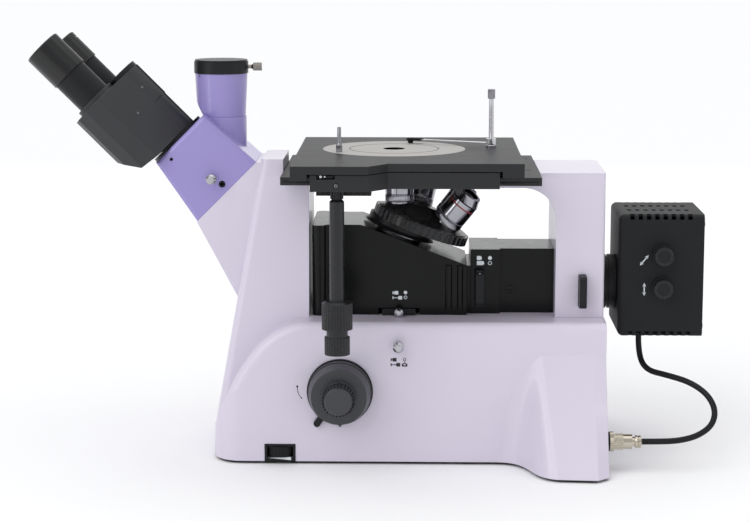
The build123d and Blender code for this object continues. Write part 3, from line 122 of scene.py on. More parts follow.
def top_face(x: float, y: float, z: float) -> Matrix:
    """Return a frame on a level face, with its axes along X and Y."""
    return plane(spot(x, y, z), Vector((1, 0, 0)), Vector((0, 0, 1)))


def under_face(x: float, y: float, z: float) -> Matrix:
    """Return a frame on a level face that looks down, with its first axis along X."""
    return plane(spot(x, y, z), Vector((1, 0, 0)), Vector((0, 0, -1)))


def rear_face(x: float, y: float, z: float) -> Matrix:
    """Return a frame on a face towards the lamp end, with its axes along Y and Z."""
    return plane(spot(x, y, z), Vector((0, 1, 0)), Vector((1, 0, 0)))


def add_object(name: str, data: bpy.types.ID) -> bpy.types.Object:
    """Make an object and put it in the scene.

    Args:
        name: The object's name.
        data: Its mesh, curve, light or camera.

    Returns:
        The object.
    """
    made = bpy.data.objects.new(name, data)
    bpy.context.scene.collection.objects.link(made)
    return made


class Wiring:
    """Adds nodes to one shader tree and links them."""

    def __init__(self, tree: bpy.types.NodeTree) -> None:
        """Keep the tree that the nodes go into."""
        self.tree = tree

    def add(self, kind: str, inputs: dict | None = None, **settings: object) -> bpy.types.Node:
        """Add one node, set it and link it.

        Args:
            kind: The node's type without its ShaderNode prefix.
            inputs: Input name or number, with a constant or the output that feeds it.
            settings: Other properties of the node.

        Returns:
            The new node.
        """
        node = self.tree.nodes.new("ShaderNode" + kind)
        for key, value in settings.items():
            setattr(node, key, value)
        for key, value in (inputs or {}).items():
            self.feed(node.inputs[key], value)
        return node

    def feed(self, socket: bpy.types.NodeSocket, value: object) -> None:
        """Link an output to a socket, or set the socket to a constant.

        Args:
            socket: The socket to feed.
            value: The output or the constant.
        """
        if isinstance(value, bpy.types.NodeSocket):
            self.tree.links.new(value, socket)
        else:
            socket.default_value = value

    def math(self, operation: str, first: object, second: object,
             clamp: bool = False) -> bpy.types.NodeSocket:
        """Return the result of a sum of two values."""
        node = self.add("Math", {0: first, 1: second}, operation=operation, use_clamp=clamp)
        return node.outputs[0]

    def blend(self, share: object, first: object, second: object) -> bpy.types.NodeSocket:
        """Return the mix of two colours."""
        return self.add("Mix", {0: share, 6: first, 7: second}, data_type="RGBA").outputs[2]

    def ramp(self, value: object, start: float, gain: float) -> bpy.types.NodeSocket:
        """Return a value that rises from 0 at a start, held between 0 and 1."""
        return self.math("MULTIPLY", self.math("SUBTRACT", value, start), gain, clamp=True)

    def here(self) -> bpy.types.NodeSocket:
        """Return the place on the surface in the piece's own frame."""
        return self.add("TexCoord").outputs["Object"]

    def noise(self, at: bpy.types.NodeSocket, scale: object, detail: float, roughness: float = 0.5,
              distortion: float = 0.0) -> bpy.types.NodeSocket:
        """Return the value of a noise texture.

        Args:
            at: The place where it is read.
            scale: Waves for each metre.
            detail: Number of finer waves.
            roughness: Strength of the finer waves.
            distortion: Bend of the waves.

        Returns:
            The value, from 0 to 1.
        """
        values = {"Vector": at, "Scale": scale, "Detail": detail, "Roughness": roughness,
                  "Distortion": distortion}
        return self.add("TexNoise", values).outputs[0]

    def place(self, group: bpy.types.NodeTree, values: dict) -> bpy.types.Node:
        """Place a node group and give its inputs their values.

        Args:
            group: The effect to place.
            values: Input name with a constant or the output that feeds it.

        Returns:
            The group's node.
        """
        return self.add("Group", values, node_tree=group)


class Effect:
    """Shader effect that several finishes share: a node group that is built once.

    Attributes:
        name: The group's name.
        inputs: Input name with its default value.
        outputs: Output name with its socket type.
    """

    name: str
    inputs: dict[str, float | Point3]
    outputs: dict[str, str]

    def fill(self, wiring: Wiring, given: Sockets) -> Sockets:
        """Wire the inside of the group.

        Args:
            wiring: The group's wiring.
            given: The group's inputs by name.

        Returns:
            What feeds each output, by name.
        """
        raise NotImplementedError

    def group(self) -> bpy.types.NodeTree:
        """Return the node group, which the first call makes.

        Returns:
            The group.
        """
        found = bpy.data.node_groups.get(self.name)
        if found:
            return found
        tree = bpy.data.node_groups.new(self.name, "ShaderNodeTree")
        for label, value in self.inputs.items():
            kind = "NodeSocketFloat" if isinstance(value, float) else "NodeSocketVector"
            socket = tree.interface.new_socket(label, in_out="INPUT", socket_type=kind)
            socket.default_value = value
        for label, kind in self.outputs.items():
            tree.interface.new_socket(label, in_out="OUTPUT", socket_type=kind)
        entry, way_out = tree.nodes.new("NodeGroupInput"), tree.nodes.new("NodeGroupOutput")
        wiring = Wiring(tree)
        made = self.fill(wiring, {socket.name: socket for socket in entry.outputs if socket.name})
        for label, socket in made.items():
            wiring.feed(way_out.inputs[label], socket)
        return tree


class SurfaceGrain(Effect):
    """Fine relief of a surface and its broad unevenness of tone."""

    name = "Surface Grain"
    inputs = {"Size": 0.001, "Stretch": (1.0, 1.0, 1.0)}
    outputs = {"Height": "NodeSocketFloat", "Mottle": "NodeSocketFloat"}

    def fill(self, wiring: Wiring, given: Sockets) -> Sockets:
        """Wire a fine noise that can be drawn out along an axis, and a broad one."""
        here = wiring.here()
        pulled = wiring.add("VectorMath", {0: here, 1: given["Stretch"]}, operation="MULTIPLY").outputs[0]
        count = wiring.math("DIVIDE", 1.0, given["Size"])
        return {"Height": wiring.noise(pulled, count, 2.0, roughness=0.55),
                "Mottle": wiring.noise(here, 24.0, 3.0, distortion=0.4)}


class EdgeWear(Effect):
    """Rounding of sharp edges and the mask of their wear."""

    name = "Edge Wear"
    inputs = {"Radius": 0.0006, "Amount": 0.2}
    outputs = {"Mask": "NodeSocketFloat", "Normal": "NodeSocketVector"}

    def fill(self, wiring: Wiring, given: Sockets) -> Sockets:
        """Wire the rounded normal, and patchy wear where it leaves the face's own normal."""
        rounded = wiring.add("Bevel", {"Radius": given["Radius"]}, samples=6).outputs[0]
        flat = wiring.add("NewGeometry").outputs["Normal"]
        along = wiring.add("VectorMath", {0: rounded, 1: flat}, operation="DOT_PRODUCT").outputs["Value"]
        sharp = wiring.math("MULTIPLY", wiring.math("SUBTRACT", 1.0, along), 5.0, clamp=True)
        patchy = wiring.ramp(wiring.noise(wiring.here(), 420.0, 4.0), 0.35, 3.0)
        worn = wiring.math("MULTIPLY", wiring.math("MULTIPLY", sharp, patchy), given["Amount"], clamp=True)
        return {"Mask": worn, "Normal": rounded}


class SettledDust(Effect):
    """Mask of the dust that settles on faces that look up."""

    name = "Settled Dust"
    inputs = {"Amount": 0.1}
    outputs = {"Mask": "NodeSocketFloat"}

    def fill(self, wiring: Wiring, given: Sockets) -> Sockets:
        """Wire fine specks on level faces."""
        normal = wiring.add("NewGeometry").outputs["Normal"]
        level = wiring.ramp(wiring.add("SeparateXYZ", {0: normal}).outputs["Z"], 0.6, 2.5)
        specks = wiring.ramp(wiring.noise(wiring.here(), 900.0, 3.0), 0.48, 4.0)
        return {"Mask": wiring.math("MULTIPLY", wiring.math("MULTIPLY", level, specks), given["Amount"])}


class HandlingSmudge(Effect):
    """How much handling raises or lowers the roughness."""

    name = "Handling Smudge"
    inputs = {"Amount": 0.05}
    outputs = {"Offset": "NodeSocketFloat"}

    def fill(self, wiring: Wiring, given: Sockets) -> Sockets:
        """Wire a smeared noise round zero."""
        smear = wiring.noise(wiring.here(), 38.0, 5.0, distortion=1.4)
        return {"Offset": wiring.math("MULTIPLY", wiring.math("SUBTRACT", smear, 0.5), given["Amount"])}


DUST_COLOUR = srgb("CFCBC6")


class Slot(Enum):
    """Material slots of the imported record."""

    IVORY = "ivory_paint"
    VIOLET = "violet_paint"
    BLACK_PAINT = "black_paint"
    BLACK_METAL = "black_metal"
    BLACK_PLASTIC = "black_plastic"
    GREY = "grey_metal"
    BRIGHT = "bright_metal"
    SATIN = "satin_metal"
    RUBBER = "feet_rubber"
    GLASS = "lens_glass"
    BOARD = "board"
    CABLE = "cable"


@dataclass(frozen=True)
class Finish:
    """One surface finish, from which its material is made.

    Attributes:
        name: Name of the material.
        colour: Base colour as hex digits.
        slot: The record's slot that it belongs to; not used.
        roughness: Mean roughness.
        metallic: 1 for bare metal.
        tone: How far the colour drifts up and down over the surface.
        grain: Size of the fine relief.
        depth: Height of the fine relief.
        stretch: How fast the relief changes along each axis.
        edge: Radius that sharp edges are rounded to.
        worn: Colour of worn edges as hex digits.
        wear: Strength of the wear.
        dust: Strength of settled dust.
        smudge: Drift of the roughness from handling.
        coat: Weight of a clear top coat.
        coat_roughness: Roughness of that coat.
        specular: Level of the mirror-like reflection; 0.5 is that of plain plastic.
    """

    name: str
    colour: str
    slot: Slot
    roughness: float
    metallic: float = 0.0
    tone: float = 0.05
    grain: float = 0.0008
    depth: float = 0.00002
    stretch: Point3 = (1.0, 1.0, 1.0)
    edge: float = 0.0007
    worn: str = "8C8A92"
    wear: float = 0.15
    dust: float = 0.05
    smudge: float = 0.08
    coat: float = 0.0
    coat_roughness: float = 0.08
    specular: float = 0.5

    def material(self) -> bpy.types.Material:
        """Return the material of this finish, which the first call makes.

        Returns:
            The material.
        """
        found = bpy.data.materials.get(self.name)
        if found:
            return found
        made = bpy.data.materials.new(self.name)
        made.use_nodes = True
        wiring = Wiring(made.node_tree)
        shader = made.node_tree.nodes["Principled BSDF"]
        grain = wiring.place(SurfaceGrain().group(), {"Size": self.grain, "Stretch": self.stretch})
        edge = wiring.place(EdgeWear().group(), {"Radius": self.edge, "Amount": self.wear})
        dust = wiring.place(SettledDust().group(), {"Amount": self.dust})
        smudge = wiring.place(HandlingSmudge().group(), {"Amount": self.smudge})
        base = srgb(self.colour)
        toned = wiring.blend(grain.outputs["Mottle"], shade(base, 1 - self.tone), shade(base, 1 + self.tone))
        worn = wiring.blend(edge.outputs["Mask"], toned, srgb(self.worn))
        wiring.feed(shader.inputs["Base Color"], wiring.blend(dust.outputs["Mask"], worn, DUST_COLOUR))
        rough = wiring.math("ADD", smudge.outputs["Offset"], self.roughness, clamp=True)
        wiring.feed(shader.inputs["Roughness"], rough)
        relief = wiring.add("Bump", {"Distance": self.depth, "Height": grain.outputs["Height"],
                                     "Normal": edge.outputs["Normal"]})
        wiring.feed(shader.inputs["Normal"], relief.outputs[0])
        shader.inputs["Metallic"].default_value = self.metallic
        shader.inputs["Coat Weight"].default_value = self.coat
        shader.inputs["Coat Roughness"].default_value = self.coat_roughness
        shader.inputs["Specular IOR Level"].default_value = self.specular
        return made


IVORY = Finish("ivory_gloss_paint", "D2CBDB", Slot.IVORY, 0.3, tone=0.012, grain=0.0011, depth=0.000016,
               edge=0.0012, worn="E6E0EC", wear=0.2, dust=0.02, smudge=0.06, coat=0.2, specular=0.4)
VIOLET = Finish("violet_gloss_paint", "978CC6", Slot.VIOLET, 0.24, tone=0.02, grain=0.001, depth=0.000014,
                edge=0.0012, worn="B9B0DE", wear=0.2, dust=0.02, smudge=0.06, coat=0.2, specular=0.4)
HOUSING = Finish("housing_black_paint", "090A0B", Slot.BLACK_PAINT, 0.24, tone=0.12, grain=0.0006,
                 depth=0.00002, worn="48484D", wear=0.3, dust=0.04, specular=0.2)
CHARCOAL = Finish("stage_charcoal_texture", "191A1C", Slot.BLACK_PAINT, 0.46, tone=0.08, grain=0.00045,
                  depth=0.00005, edge=0.0010, worn="6A6A70", wear=0.4, dust=0.05, specular=0.42)
SATIN_BLACK = Finish("satin_black_metal", "1B1C1E", Slot.BLACK_METAL, 0.36, tone=0.1, grain=0.0004,
                     depth=0.00001, worn="4C4C52", wear=0.3, specular=0.22)
KNOB = Finish("knob_grey_black", "36373B", Slot.BLACK_PLASTIC, 0.36, tone=0.1, grain=0.0004, depth=0.000012,
              edge=0.0007, worn="6E6E74", wear=0.4, specular=0.45)
HANDLE = Finish("handle_black_anodised", "191A1C", Slot.BLACK_PLASTIC, 0.28, tone=0.1, grain=0.0004,
                depth=0.00001, edge=0.0007, worn="6E6E74", wear=0.45, specular=0.4)
TURRET = Finish("turret_black_anodised", "17181A", Slot.BLACK_METAL, 0.26, tone=0.1, grain=0.0004,
                depth=0.00001, edge=0.0006, worn="A2A2A8", wear=0.8, specular=0.4)
LACQUER = Finish("eyepiece_black_lacquer", "0B0C0E", Slot.BLACK_METAL, 0.2, tone=0.08, grain=0.0005,
                 depth=0.000006, worn="4A4A50", wear=0.25, specular=0.5)
BINOCULAR = Finish("binocular_crackle_black", "2B2C2F", Slot.BLACK_PAINT, 0.42, tone=0.1, grain=0.0005,
                   depth=0.00004, edge=0.0012, worn="5C5C62", wear=0.35, specular=0.4)
PLASTIC = Finish("moulded_black_plastic", "1A1B1D", Slot.BLACK_PLASTIC, 0.4, tone=0.08, grain=0.0005,
                 depth=0.000015, edge=0.0006, worn="48484E", wear=0.25, specular=0.22)
LAMP_BLACK = Finish("lamp_house_black_powder", "1E1F21", Slot.BLACK_PAINT, 0.5, tone=0.08, grain=0.0005,
                    depth=0.00004, edge=0.0009, worn="4E4E54", wear=0.3, specular=0.16)
RUBBER = Finish("foot_rubber", "171718", Slot.RUBBER, 0.78, tone=0.15, grain=0.0007, depth=0.00005,
                worn="323233", wear=0.2, specular=0.15)
INSERT = Finish("insert_grey_anodised", "B5B2AF", Slot.GREY, 0.6, tone=0.02, grain=0.0003, depth=0.000008,
                edge=0.0004, worn="D8D8DA", wear=0.2, dust=0.02, specular=0.2)
CHROME = Finish("bright_chrome", "BCBCC1", Slot.BRIGHT, 0.12, metallic=1.0, tone=0.03, grain=0.0003,
                depth=0.000002, edge=0.0004, worn="F2F2F4", wear=0.2, dust=0.02, smudge=0.1)
STEEL = Finish("satin_steel", "8F8F94", Slot.SATIN, 0.3, metallic=1.0, tone=0.05, grain=0.00012,
               depth=0.000004, stretch=(0.03, 0.03, 1.0), edge=0.0004, worn="DCDCE0", wear=0.25)
TURNED_Y = Finish("turned_steel_across", "B4B4B9", Slot.BRIGHT, 0.2, metallic=1.0, tone=0.04, grain=0.00012,
                  depth=0.000003, stretch=(0.03, 1.0, 0.03), edge=0.0004, worn="EEEEF0", wear=0.2)
NICKEL = Finish("plug_nickel", "C6BEAF", Slot.BRIGHT, 0.16, metallic=1.0, tone=0.04, grain=0.0003,
                depth=0.000002, edge=0.0004, worn="ECE6DA", wear=0.25, dust=0.02, smudge=0.1)
TURNED_X = Finish("turned_nickel_along", "8F8C87", Slot.BRIGHT, 0.26, metallic=1.0, tone=0.05, grain=0.00015,
                  depth=0.000004, stretch=(1.0, 0.03, 0.03), edge=0.0005, worn="D8D4CC", wear=0.25)
BARREL = Finish("objective_silver", "A2A2A8", Slot.SATIN, 0.16, metallic=1.0, tone=0.03, grain=0.0002,
                depth=0.000003, edge=0.0004, worn="E6E6EA", wear=0.2, dust=0.01)
RED_BAND = Finish("red_enamel_band", "A3202C", Slot.SATIN, 0.3, tone=0.05, depth=0.000004, worn="C85A60")
YELLOW_BAND = Finish("yellow_enamel_band", "C9A227", Slot.SATIN, 0.3, tone=0.05, depth=0.000004,
                     worn="E0C468")
GREEN_BAND = Finish("green_enamel_band", "2F8A4B", Slot.SATIN, 0.3, tone=0.05, depth=0.000004, worn="78B98B")
WHITE_PRINT = Finish("white_print", "D9DFE4", Slot.BLACK_PAINT, 0.5, tone=0.06, depth=0.000006, wear=0.0)
BLACK_PRINT = Finish("black_print", "16141B", Slot.IVORY, 0.45, tone=0.1, depth=0.000006, wear=0.0)
# Near-black painted shade, put in sunk screw sockets, slots, recesses, fine joints and the specimen hole
# where shade falls.
SHADOW = Finish("painted_recess_shade", "070708", Slot.BLACK_METAL, 0.8, tone=0.2, grain=0.0005, depth=0.00003,
                wear=0.05, dust=0.0, specular=0.05)
LENS = Finish("coated_lens_glass", "10131C", Slot.GLASS, 0.06, tone=0.3, grain=0.002, depth=0.0, edge=0.0003,
              worn="3A4258", wear=0.1, dust=0.01, smudge=0.02, coat=1.0)
SHEATH = Finish("cable_sheath", "18181A", Slot.CABLE, 0.42, tone=0.1, grain=0.0008, depth=0.00002, wear=0.1,
                specular=0.2)
BOARD = Finish("supply_board_green", "1F4A33", Slot.BOARD, 0.5, tone=0.2, grain=0.002, depth=0.00003)


def dress(finish: Finish, *nodes: str) -> None:
    """Give whole CAD nodes one finish.

    Args:
        finish: The finish.
        nodes: Names of the nodes.
    """
    for name in nodes:
        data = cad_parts[name].data
        data.materials.clear()
        data.materials.append(finish.material())
        log.info("%s: %s", name, finish.name)


FaceTest = Callable[[Vector, Vector], bool]


def dress_zones(node: str, main: Finish, zones: Sequence[tuple[Finish, FaceTest]]) -> None:
    """Give a CAD node one finish, and other finishes on the faces that pass a test.

    Args:
        node: Name of the node.
        main: Finish of the faces that pass no test.
        zones: Finishes with the test on a face's centre and normal.
    """
    dress(main, node)
    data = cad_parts[node].data
    for finish, _ in zones:
        data.materials.append(finish.material())
    for face in data.polygons:
        passed = [i for i, (_, test) in enumerate(zones, 1) if test(face.center, face.normal)]
        face.material_index = passed[0] if passed else 0


class Shaper:
    """Collects the faces of one piece and turns them into an object."""

    def __init__(self, name: str, *finishes: Finish) -> None:
        """Start an empty piece.

        Args:
            name: The piece's name.
            finishes: Its finishes, in the order of their numbers.
        """
        self.name = name
        self.finishes = finishes
        self.mesh = bmesh.new()

    def face(self, corners: Sequence[bmesh.types.BMVert], finish: int) -> None:
        """Add one face with the finish of that number."""
        made = self.mesh.faces.new(corners)
        made.material_index = finish

    def lathe(self, place: Matrix, profile: Sequence[Point2], steps: int = 48, finish: int = 0,
              ribs: int = 0, rib_depth: float = 0.0, lean: float = 0.0) -> None:
        """Turn a profile round the local third axis.

        Args:
            place: The local frame.
            profile: Radius and height of each point, from one end to the other.
            steps: Facets in a full turn.
            finish: Number of the finish.
            ribs: Ribs round the inner points of the profile, for a knurl.
            rib_depth: Depth of the ribs.
            lean: Turn of the ribs for each metre of height.
        """
        rings = []
        for index, (radius, height) in enumerate(profile):
            if radius == 0:
                rings.append([self.mesh.verts.new(place @ Vector((0, 0, height)))])
                continue
            ribbed = ribs and 0 < index < len(profile) - 1
            ring = []
            for step in range(steps):
                angle = FULL_TURN * step / steps
                dip = rib_depth * (0.5 - 0.5 * math.cos(ribs * angle + lean * height)) if ribbed else 0.0
                at = Vector(((radius - dip) * math.cos(angle), (radius - dip) * math.sin(angle), height))
                ring.append(self.mesh.verts.new(place @ at))
            rings.append(ring)
        for low, high in zip(rings, rings[1:]):
            for step in range(steps):
                after = (step + 1) % steps
                corners = [low[step % len(low)], low[after % len(low)],
                           high[after % len(high)], high[step % len(high)]]
                unique = list(dict.fromkeys(corners))
                if len(unique) > 2:
                    self.face(unique, finish)

    def prism(self, place: Matrix, outline: Sequence[Point2], height: float, finish: int = 0,
              bevel: float = 0.0) -> None:
        """Raise a closed outline into a plate.

        Args:
            place: The local frame.
            outline: Corners of the outline, anticlockwise.
            height: Thickness along the local third axis.
            finish: Number of the finish.
            bevel: Chamfer of the upper rim.
        """
        middle = Vector((sum(p[0] for p in outline), sum(p[1] for p in outline))) / len(outline)
        levels = [(0.0, 0.0), (height - bevel, 0.0)] + ([(height, bevel)] if bevel else [])
        rings = []
        for level, inset in levels:
            ring = []
            for corner in outline:
                inward = middle - Vector(corner)
                moved = Vector(corner) + inward * min(0.5, inset * 1.4 / max(inward.length, 1e-6))
                ring.append(self.mesh.verts.new(place @ Vector((moved.x, moved.y, level))))
            rings.append(ring)
        count = len(outline)
        for low, high in zip(rings, rings[1:]):
            for step in range(count):
                after = (step + 1) % count
                self.face([low[step], low[after], high[after], high[step]], finish)
        self.face(list(reversed(rings[0])), finish)
        self.face(rings[-1], finish)

    def disc(self, place: Matrix, centre: Point2, radius: float, height: float, finish: int = 0) -> None:
        """Raise a round dot on a face."""
        self.prism(place, arc_points(centre, radius, 0, FULL_TURN, 28)[:-1], height, finish)

    def band(self, place: Matrix, outer: Sequence[Point2], inner: Sequence[Point2], height: float,
             finish: int = 0) -> None:
        """Raise the band between two closed outlines with as many points each.

        Args:
            place: The local frame.
            outer: Outer outline, anticlockwise.
            inner: Inner outline, anticlockwise.
            height: Thickness.
            finish: Number of the finish.
        """
        rings = [[self.mesh.verts.new(place @ Vector((x, y, z))) for x, y in outline]
                 for outline, z in ((inner, 0.0), (outer, 0.0), (outer, height), (inner, height))]
        count = len(outer)
        for low, high in zip(rings, rings[1:] + rings[:1]):
            for step in range(count):
                after = (step + 1) % count
                self.face([low[step], low[after], high[after], high[step]], finish)

    def stroke(self, place: Matrix, line: Sequence[Point2], width: float, height: float,
               finish: int = 0) -> None:
        """Raise a line of even width along a run of points.

        Args:
            place: The local frame.
            line: The points.
            width: Width of the line.
            height: Thickness.
            finish: Number of the finish.
        """
        left, right = [], []
        for index, here in enumerate(line):
            before, after = line[max(index - 1, 0)], line[min(index + 1, len(line) - 1)]
            along = (Vector(after) - Vector(before)).normalized()
            side = Vector((-along.y, along.x)) * width / 2
            left.append(tuple(Vector(here) + side))
            right.append(tuple(Vector(here) - side))
        for step in range(len(line) - 1):
            self.prism(place, [right[step], right[step + 1], left[step + 1], left[step]], height, finish)

    def piece(self, body: str, *replaced: str) -> bpy.types.Object:
        """Make the object, set it on its body and report it.

        Args:
            body: The CAD body that it rides on.
            replaced: CAD nodes that it stands for.

        Returns:
            The object.
        """
        bmesh.ops.recalc_face_normals(self.mesh, faces=self.mesh.faces)
        data = bpy.data.meshes.new(self.name)
        self.mesh.to_mesh(data)
        self.mesh.free()
        for finish in self.finishes:
            data.materials.append(finish.material())
        data.polygons.foreach_set("use_smooth", [True] * len(data.polygons))
        data.set_sharp_from_angle(angle=SHARP_EDGE)
        made = add_object(self.name, data)
        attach(made, body)
        if replaced:
            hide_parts(*replaced)
        log.info("%s rides on %s", self.name, body)
        return made


def arc_points(centre: Point2, radius: float, start: float, end: float, count: int) -> list[Point2]:
    """Return points along an arc.

    Args:
        centre: Centre of the arc.
        radius: Its radius.
        start: First angle in radians.
        end: Last angle.
        count: Steps between the ends.

    Returns:
        count + 1 points.
    """
    angles = [start + (end - start) * i / count for i in range(count + 1)]
    return [(centre[0] + radius * math.cos(a), centre[1] + radius * math.sin(a)) for a in angles]


def rectangle(left: float, low: float, right: float, high: float) -> list[Point2]:
    """Return the corners of a rectangle, anticlockwise."""
    return [(left, low), (right, low), (right, high), (left, high)]


def screw_head(shaper: Shaper, place: Matrix, radius: float, height: float, finish: int = 0,
               recess: int = 1) -> None:
    """Add a socket screw: a chamfered head with a sunk hexagon.

    Args:
        shaper: The piece that it goes into.
        place: Frame on the face that it stands on.
        radius: Radius of the head.
        height: Height of the head.
        finish: Number of the head's finish.
        recess: Number of the finish of the sunk hexagon; every caller gives it the painted shade.
    """
    inner = radius * 0.55
    shaper.lathe(place, [(radius, 0.0), (radius, height * 0.7), (radius * 0.85, height), (inner, height)],
                 24, finish)
    # painted shade inside the sunk hexagon
    shaper.lathe(place, [(inner, height), (inner * 0.95, height * 0.2), (0, height * 0.2)], 6, recess)


@dataclass
class SliderIcon:
    """Printed sign of a slider, pushed in or drawn out.

    Attributes:
        left: Left end of the sign in its face's frame.
        low: Lower edge.
        stem: Length of the stem, which is long where the slider is drawn out.
        tall: Height of the sign.
        block: Length of the slider's block.
        handle: Length of the grip.
    """

    left: float
    low: float
    stem: float
    tall: float = 0.0038
    block: float = 0.0042
    handle: float = 0.0015

    def draw(self, shaper: Shaper, place: Matrix) -> None:
        """Print the sign on a face.

        Args:
            shaper: The piece of print.
            place: Frame of the face.
        """
        mid = self.low + self.tall / 2
        thin = self.tall * 0.11
        end, top = self.left + self.handle, self.low + self.tall
        waist, notch = self.left + self.handle * 0.6, self.tall * 0.18
        grip = [(self.left, self.low), (waist, self.low + notch), (end, mid - thin), (end, mid + thin),
                (waist, top - notch), (self.left, top)]
        shaper.prism(place, grip, PRINT_DEPTH)
        shaper.prism(place, rectangle(end, mid - thin, end + self.stem, mid + thin), PRINT_DEPTH)
        start = end + self.stem
        nick = self.tall * 0.12
        body = [(start, self.low + nick), (start + nick, self.low), (start + self.block, self.low),
                (start + self.block, top), (start + nick, top), (start, top - nick)]
        shaper.prism(place, body, PRINT_DEPTH)


def draw_ring(shaper: Shaper, place: Matrix, centre: Point2, radius: float, width: float) -> None:
    """Print a ring on a face."""
    outer, inner = (arc_points(centre, r, 0, FULL_TURN, 32)[:-1] for r in (radius, radius - width))
    shaper.band(place, outer, inner, PRINT_DEPTH)


def draw_arrow(shaper: Shaper, place: Matrix, start: Point2, end: Point2, width: float, barb: float) -> None:
    """Print an arrow with a head at both ends.

    Args:
        shaper: The piece of print.
        place: Frame of the face.
        start: One tip.
        end: The other tip.
        width: Width of the shaft.
        barb: Length of a head.
    """
    tail, tip = Vector(start), Vector(end)
    along = (tip - tail).normalized()
    side = Vector((-along.y, along.x))
    inset = along * barb * 0.8
    shaper.stroke(place, [tuple(tail + inset), tuple(tip - inset)], width, PRINT_DEPTH)
    for point, way in ((tail, along), (tip, -along)):
        wings = [point, point + way * barb + side * barb * 0.5, point + way * barb - side * barb * 0.5]
        if (wings[1] - wings[0]).cross(wings[2] - wings[0]) < 0:
            wings.reverse()
        shaper.prism(place, [tuple(w) for w in wings], PRINT_DEPTH)


@dataclass
class Studio:
    """Camera, floor and soft lights.

    Attributes:
        eye: Place of the camera.
        pitch: Degrees that it looks down.
        yaw: Degrees that it looks to the left.
        focal_pixels: Focal length in pixels of the photograph.
        photo_width: Width of the photograph in pixels.
        sensor: Sensor width in millimetres.
        floor_size: Side of the floor.
        floor_colour: Its colour as hex digits.
        floor_roughness: Its roughness.
        surround: Strength of the pale surround.
        surround_colour: Its colour.
        suns: Wide lights, each with its name and the other arguments of sun.
        strips: Soft boxes, each with its name and the other arguments of strip.
        strip_aim: The point that the soft boxes face.
    """

    eye: Point3 = (0.05526, -2.1379, 0.550)
    pitch: float = 9.32
    yaw: float = 1.26
    focal_pixels: float = 2020.0
    photo_width: int = 750
    sensor: float = 36.0
    floor_size: float = 40.0
    floor_colour: str = "FAFAFB"
    floor_roughness: float = 0.9
    surround: float = 0.62
    surround_colour: Colour = (0.98, 0.99, 1.0, 1.0)
    suns: tuple[tuple[str, Point3, float, float], ...] = (
        ("key_light", (0.62, 0.72, -0.75), 50.0, 0.78),
        ("top_light", (-0.10, -0.12, -1.0), 70.0, 0.82),
        ("fill_light", (-0.80, 0.55, -0.30), 60.0, 0.20))
    strips: tuple[tuple[str, Point3, Point2, float], ...] = (
        ("left_strip", (-1.35, -0.95, 0.70), (0.10, 1.30), 2.4),
        ("right_strip", (1.45, -0.55, 0.80), (0.08, 1.30), 1.2),
        ("back_strip", (0.0, 2.50, 0.68), (3.20, 0.45), 3.4))
    strip_aim: Point3 = (0.0, 0.0, 0.25)

    def camera(self) -> None:
        """Set the camera at the photograph's viewing angle."""
        data = bpy.data.cameras.new("photo_camera")
        data.sensor_width = self.sensor
        data.lens = self.focal_pixels * self.sensor / self.photo_width
        data.clip_end = self.floor_size
        made = add_object("photo_camera", data)
        made.location = self.eye
        made.rotation_euler = (math.radians(90 - self.pitch), 0, math.radians(self.yaw))
        bpy.context.scene.camera = made

    def floor(self) -> None:
        """Lay the pale floor."""
        half = self.floor_size / 2
        data = bpy.data.meshes.new("floor")
        corners = [(x, y, 0) for x, y in rectangle(-half, -half, half, half)]
        data.from_pydata(corners, [], [(0, 1, 2, 3)])
        pale = bpy.data.materials.new("pale_floor")
        pale.use_nodes = True
        shader = pale.node_tree.nodes["Principled BSDF"]
        shader.inputs["Base Color"].default_value = srgb(self.floor_colour)
        shader.inputs["Roughness"].default_value = self.floor_roughness
        data.materials.append(pale)
        made = add_object("floor", data)

    def sun(self, name: str, way: Point3, spread: float, power: float) -> None:
        """Set one wide soft light that falls evenly over floor and model.

        Args:
            name: The light's name.
            way: Direction in which the light travels.
            spread: Apparent width of the light in degrees.
            power: Its power on a square metre.
        """
        data = bpy.data.lights.new(name, "SUN")
        data.angle = math.radians(spread)
        data.energy = power
        add_object(name, data).rotation_euler = Vector(way).to_track_quat("-Z", "Y").to_euler()

    def strip(self, name: str, place: Point3, size: Point2, power: float) -> None:
        """Stand one soft box by the model, which draws its highlight on round and glossy pieces.

        Args:
            name: The light's name.
            place: Where it stands.
            size: Its width and height.
            power: Its power in watts.
        """
        data = bpy.data.lights.new(name, "AREA")
        data.shape = "RECTANGLE"
        data.size, data.size_y = size
        data.energy = power
        made = add_object(name, data)
        made.location = place
        made.rotation_euler = (Vector(self.strip_aim) - Vector(place)).to_track_quat("-Z", "Y").to_euler()

    def lights(self) -> None:
        """Light the scene with a pale surround, the wide lights and the soft boxes."""
        world = bpy.data.worlds.new("pale_surround")
        world.use_nodes = True
        background = world.node_tree.nodes["Background"]
        background.inputs["Color"].default_value = self.surround_colour
        background.inputs["Strength"].default_value = self.surround
        bpy.context.scene.world = world
        for light in self.suns:
            self.sun(*light)
        for light in self.strips:
            self.strip(*light)
        bpy.context.scene.view_settings.view_transform = "Standard"

    def build(self) -> None:
        """Set up the whole studio."""
        self.camera()
        self.floor()
        self.lights()


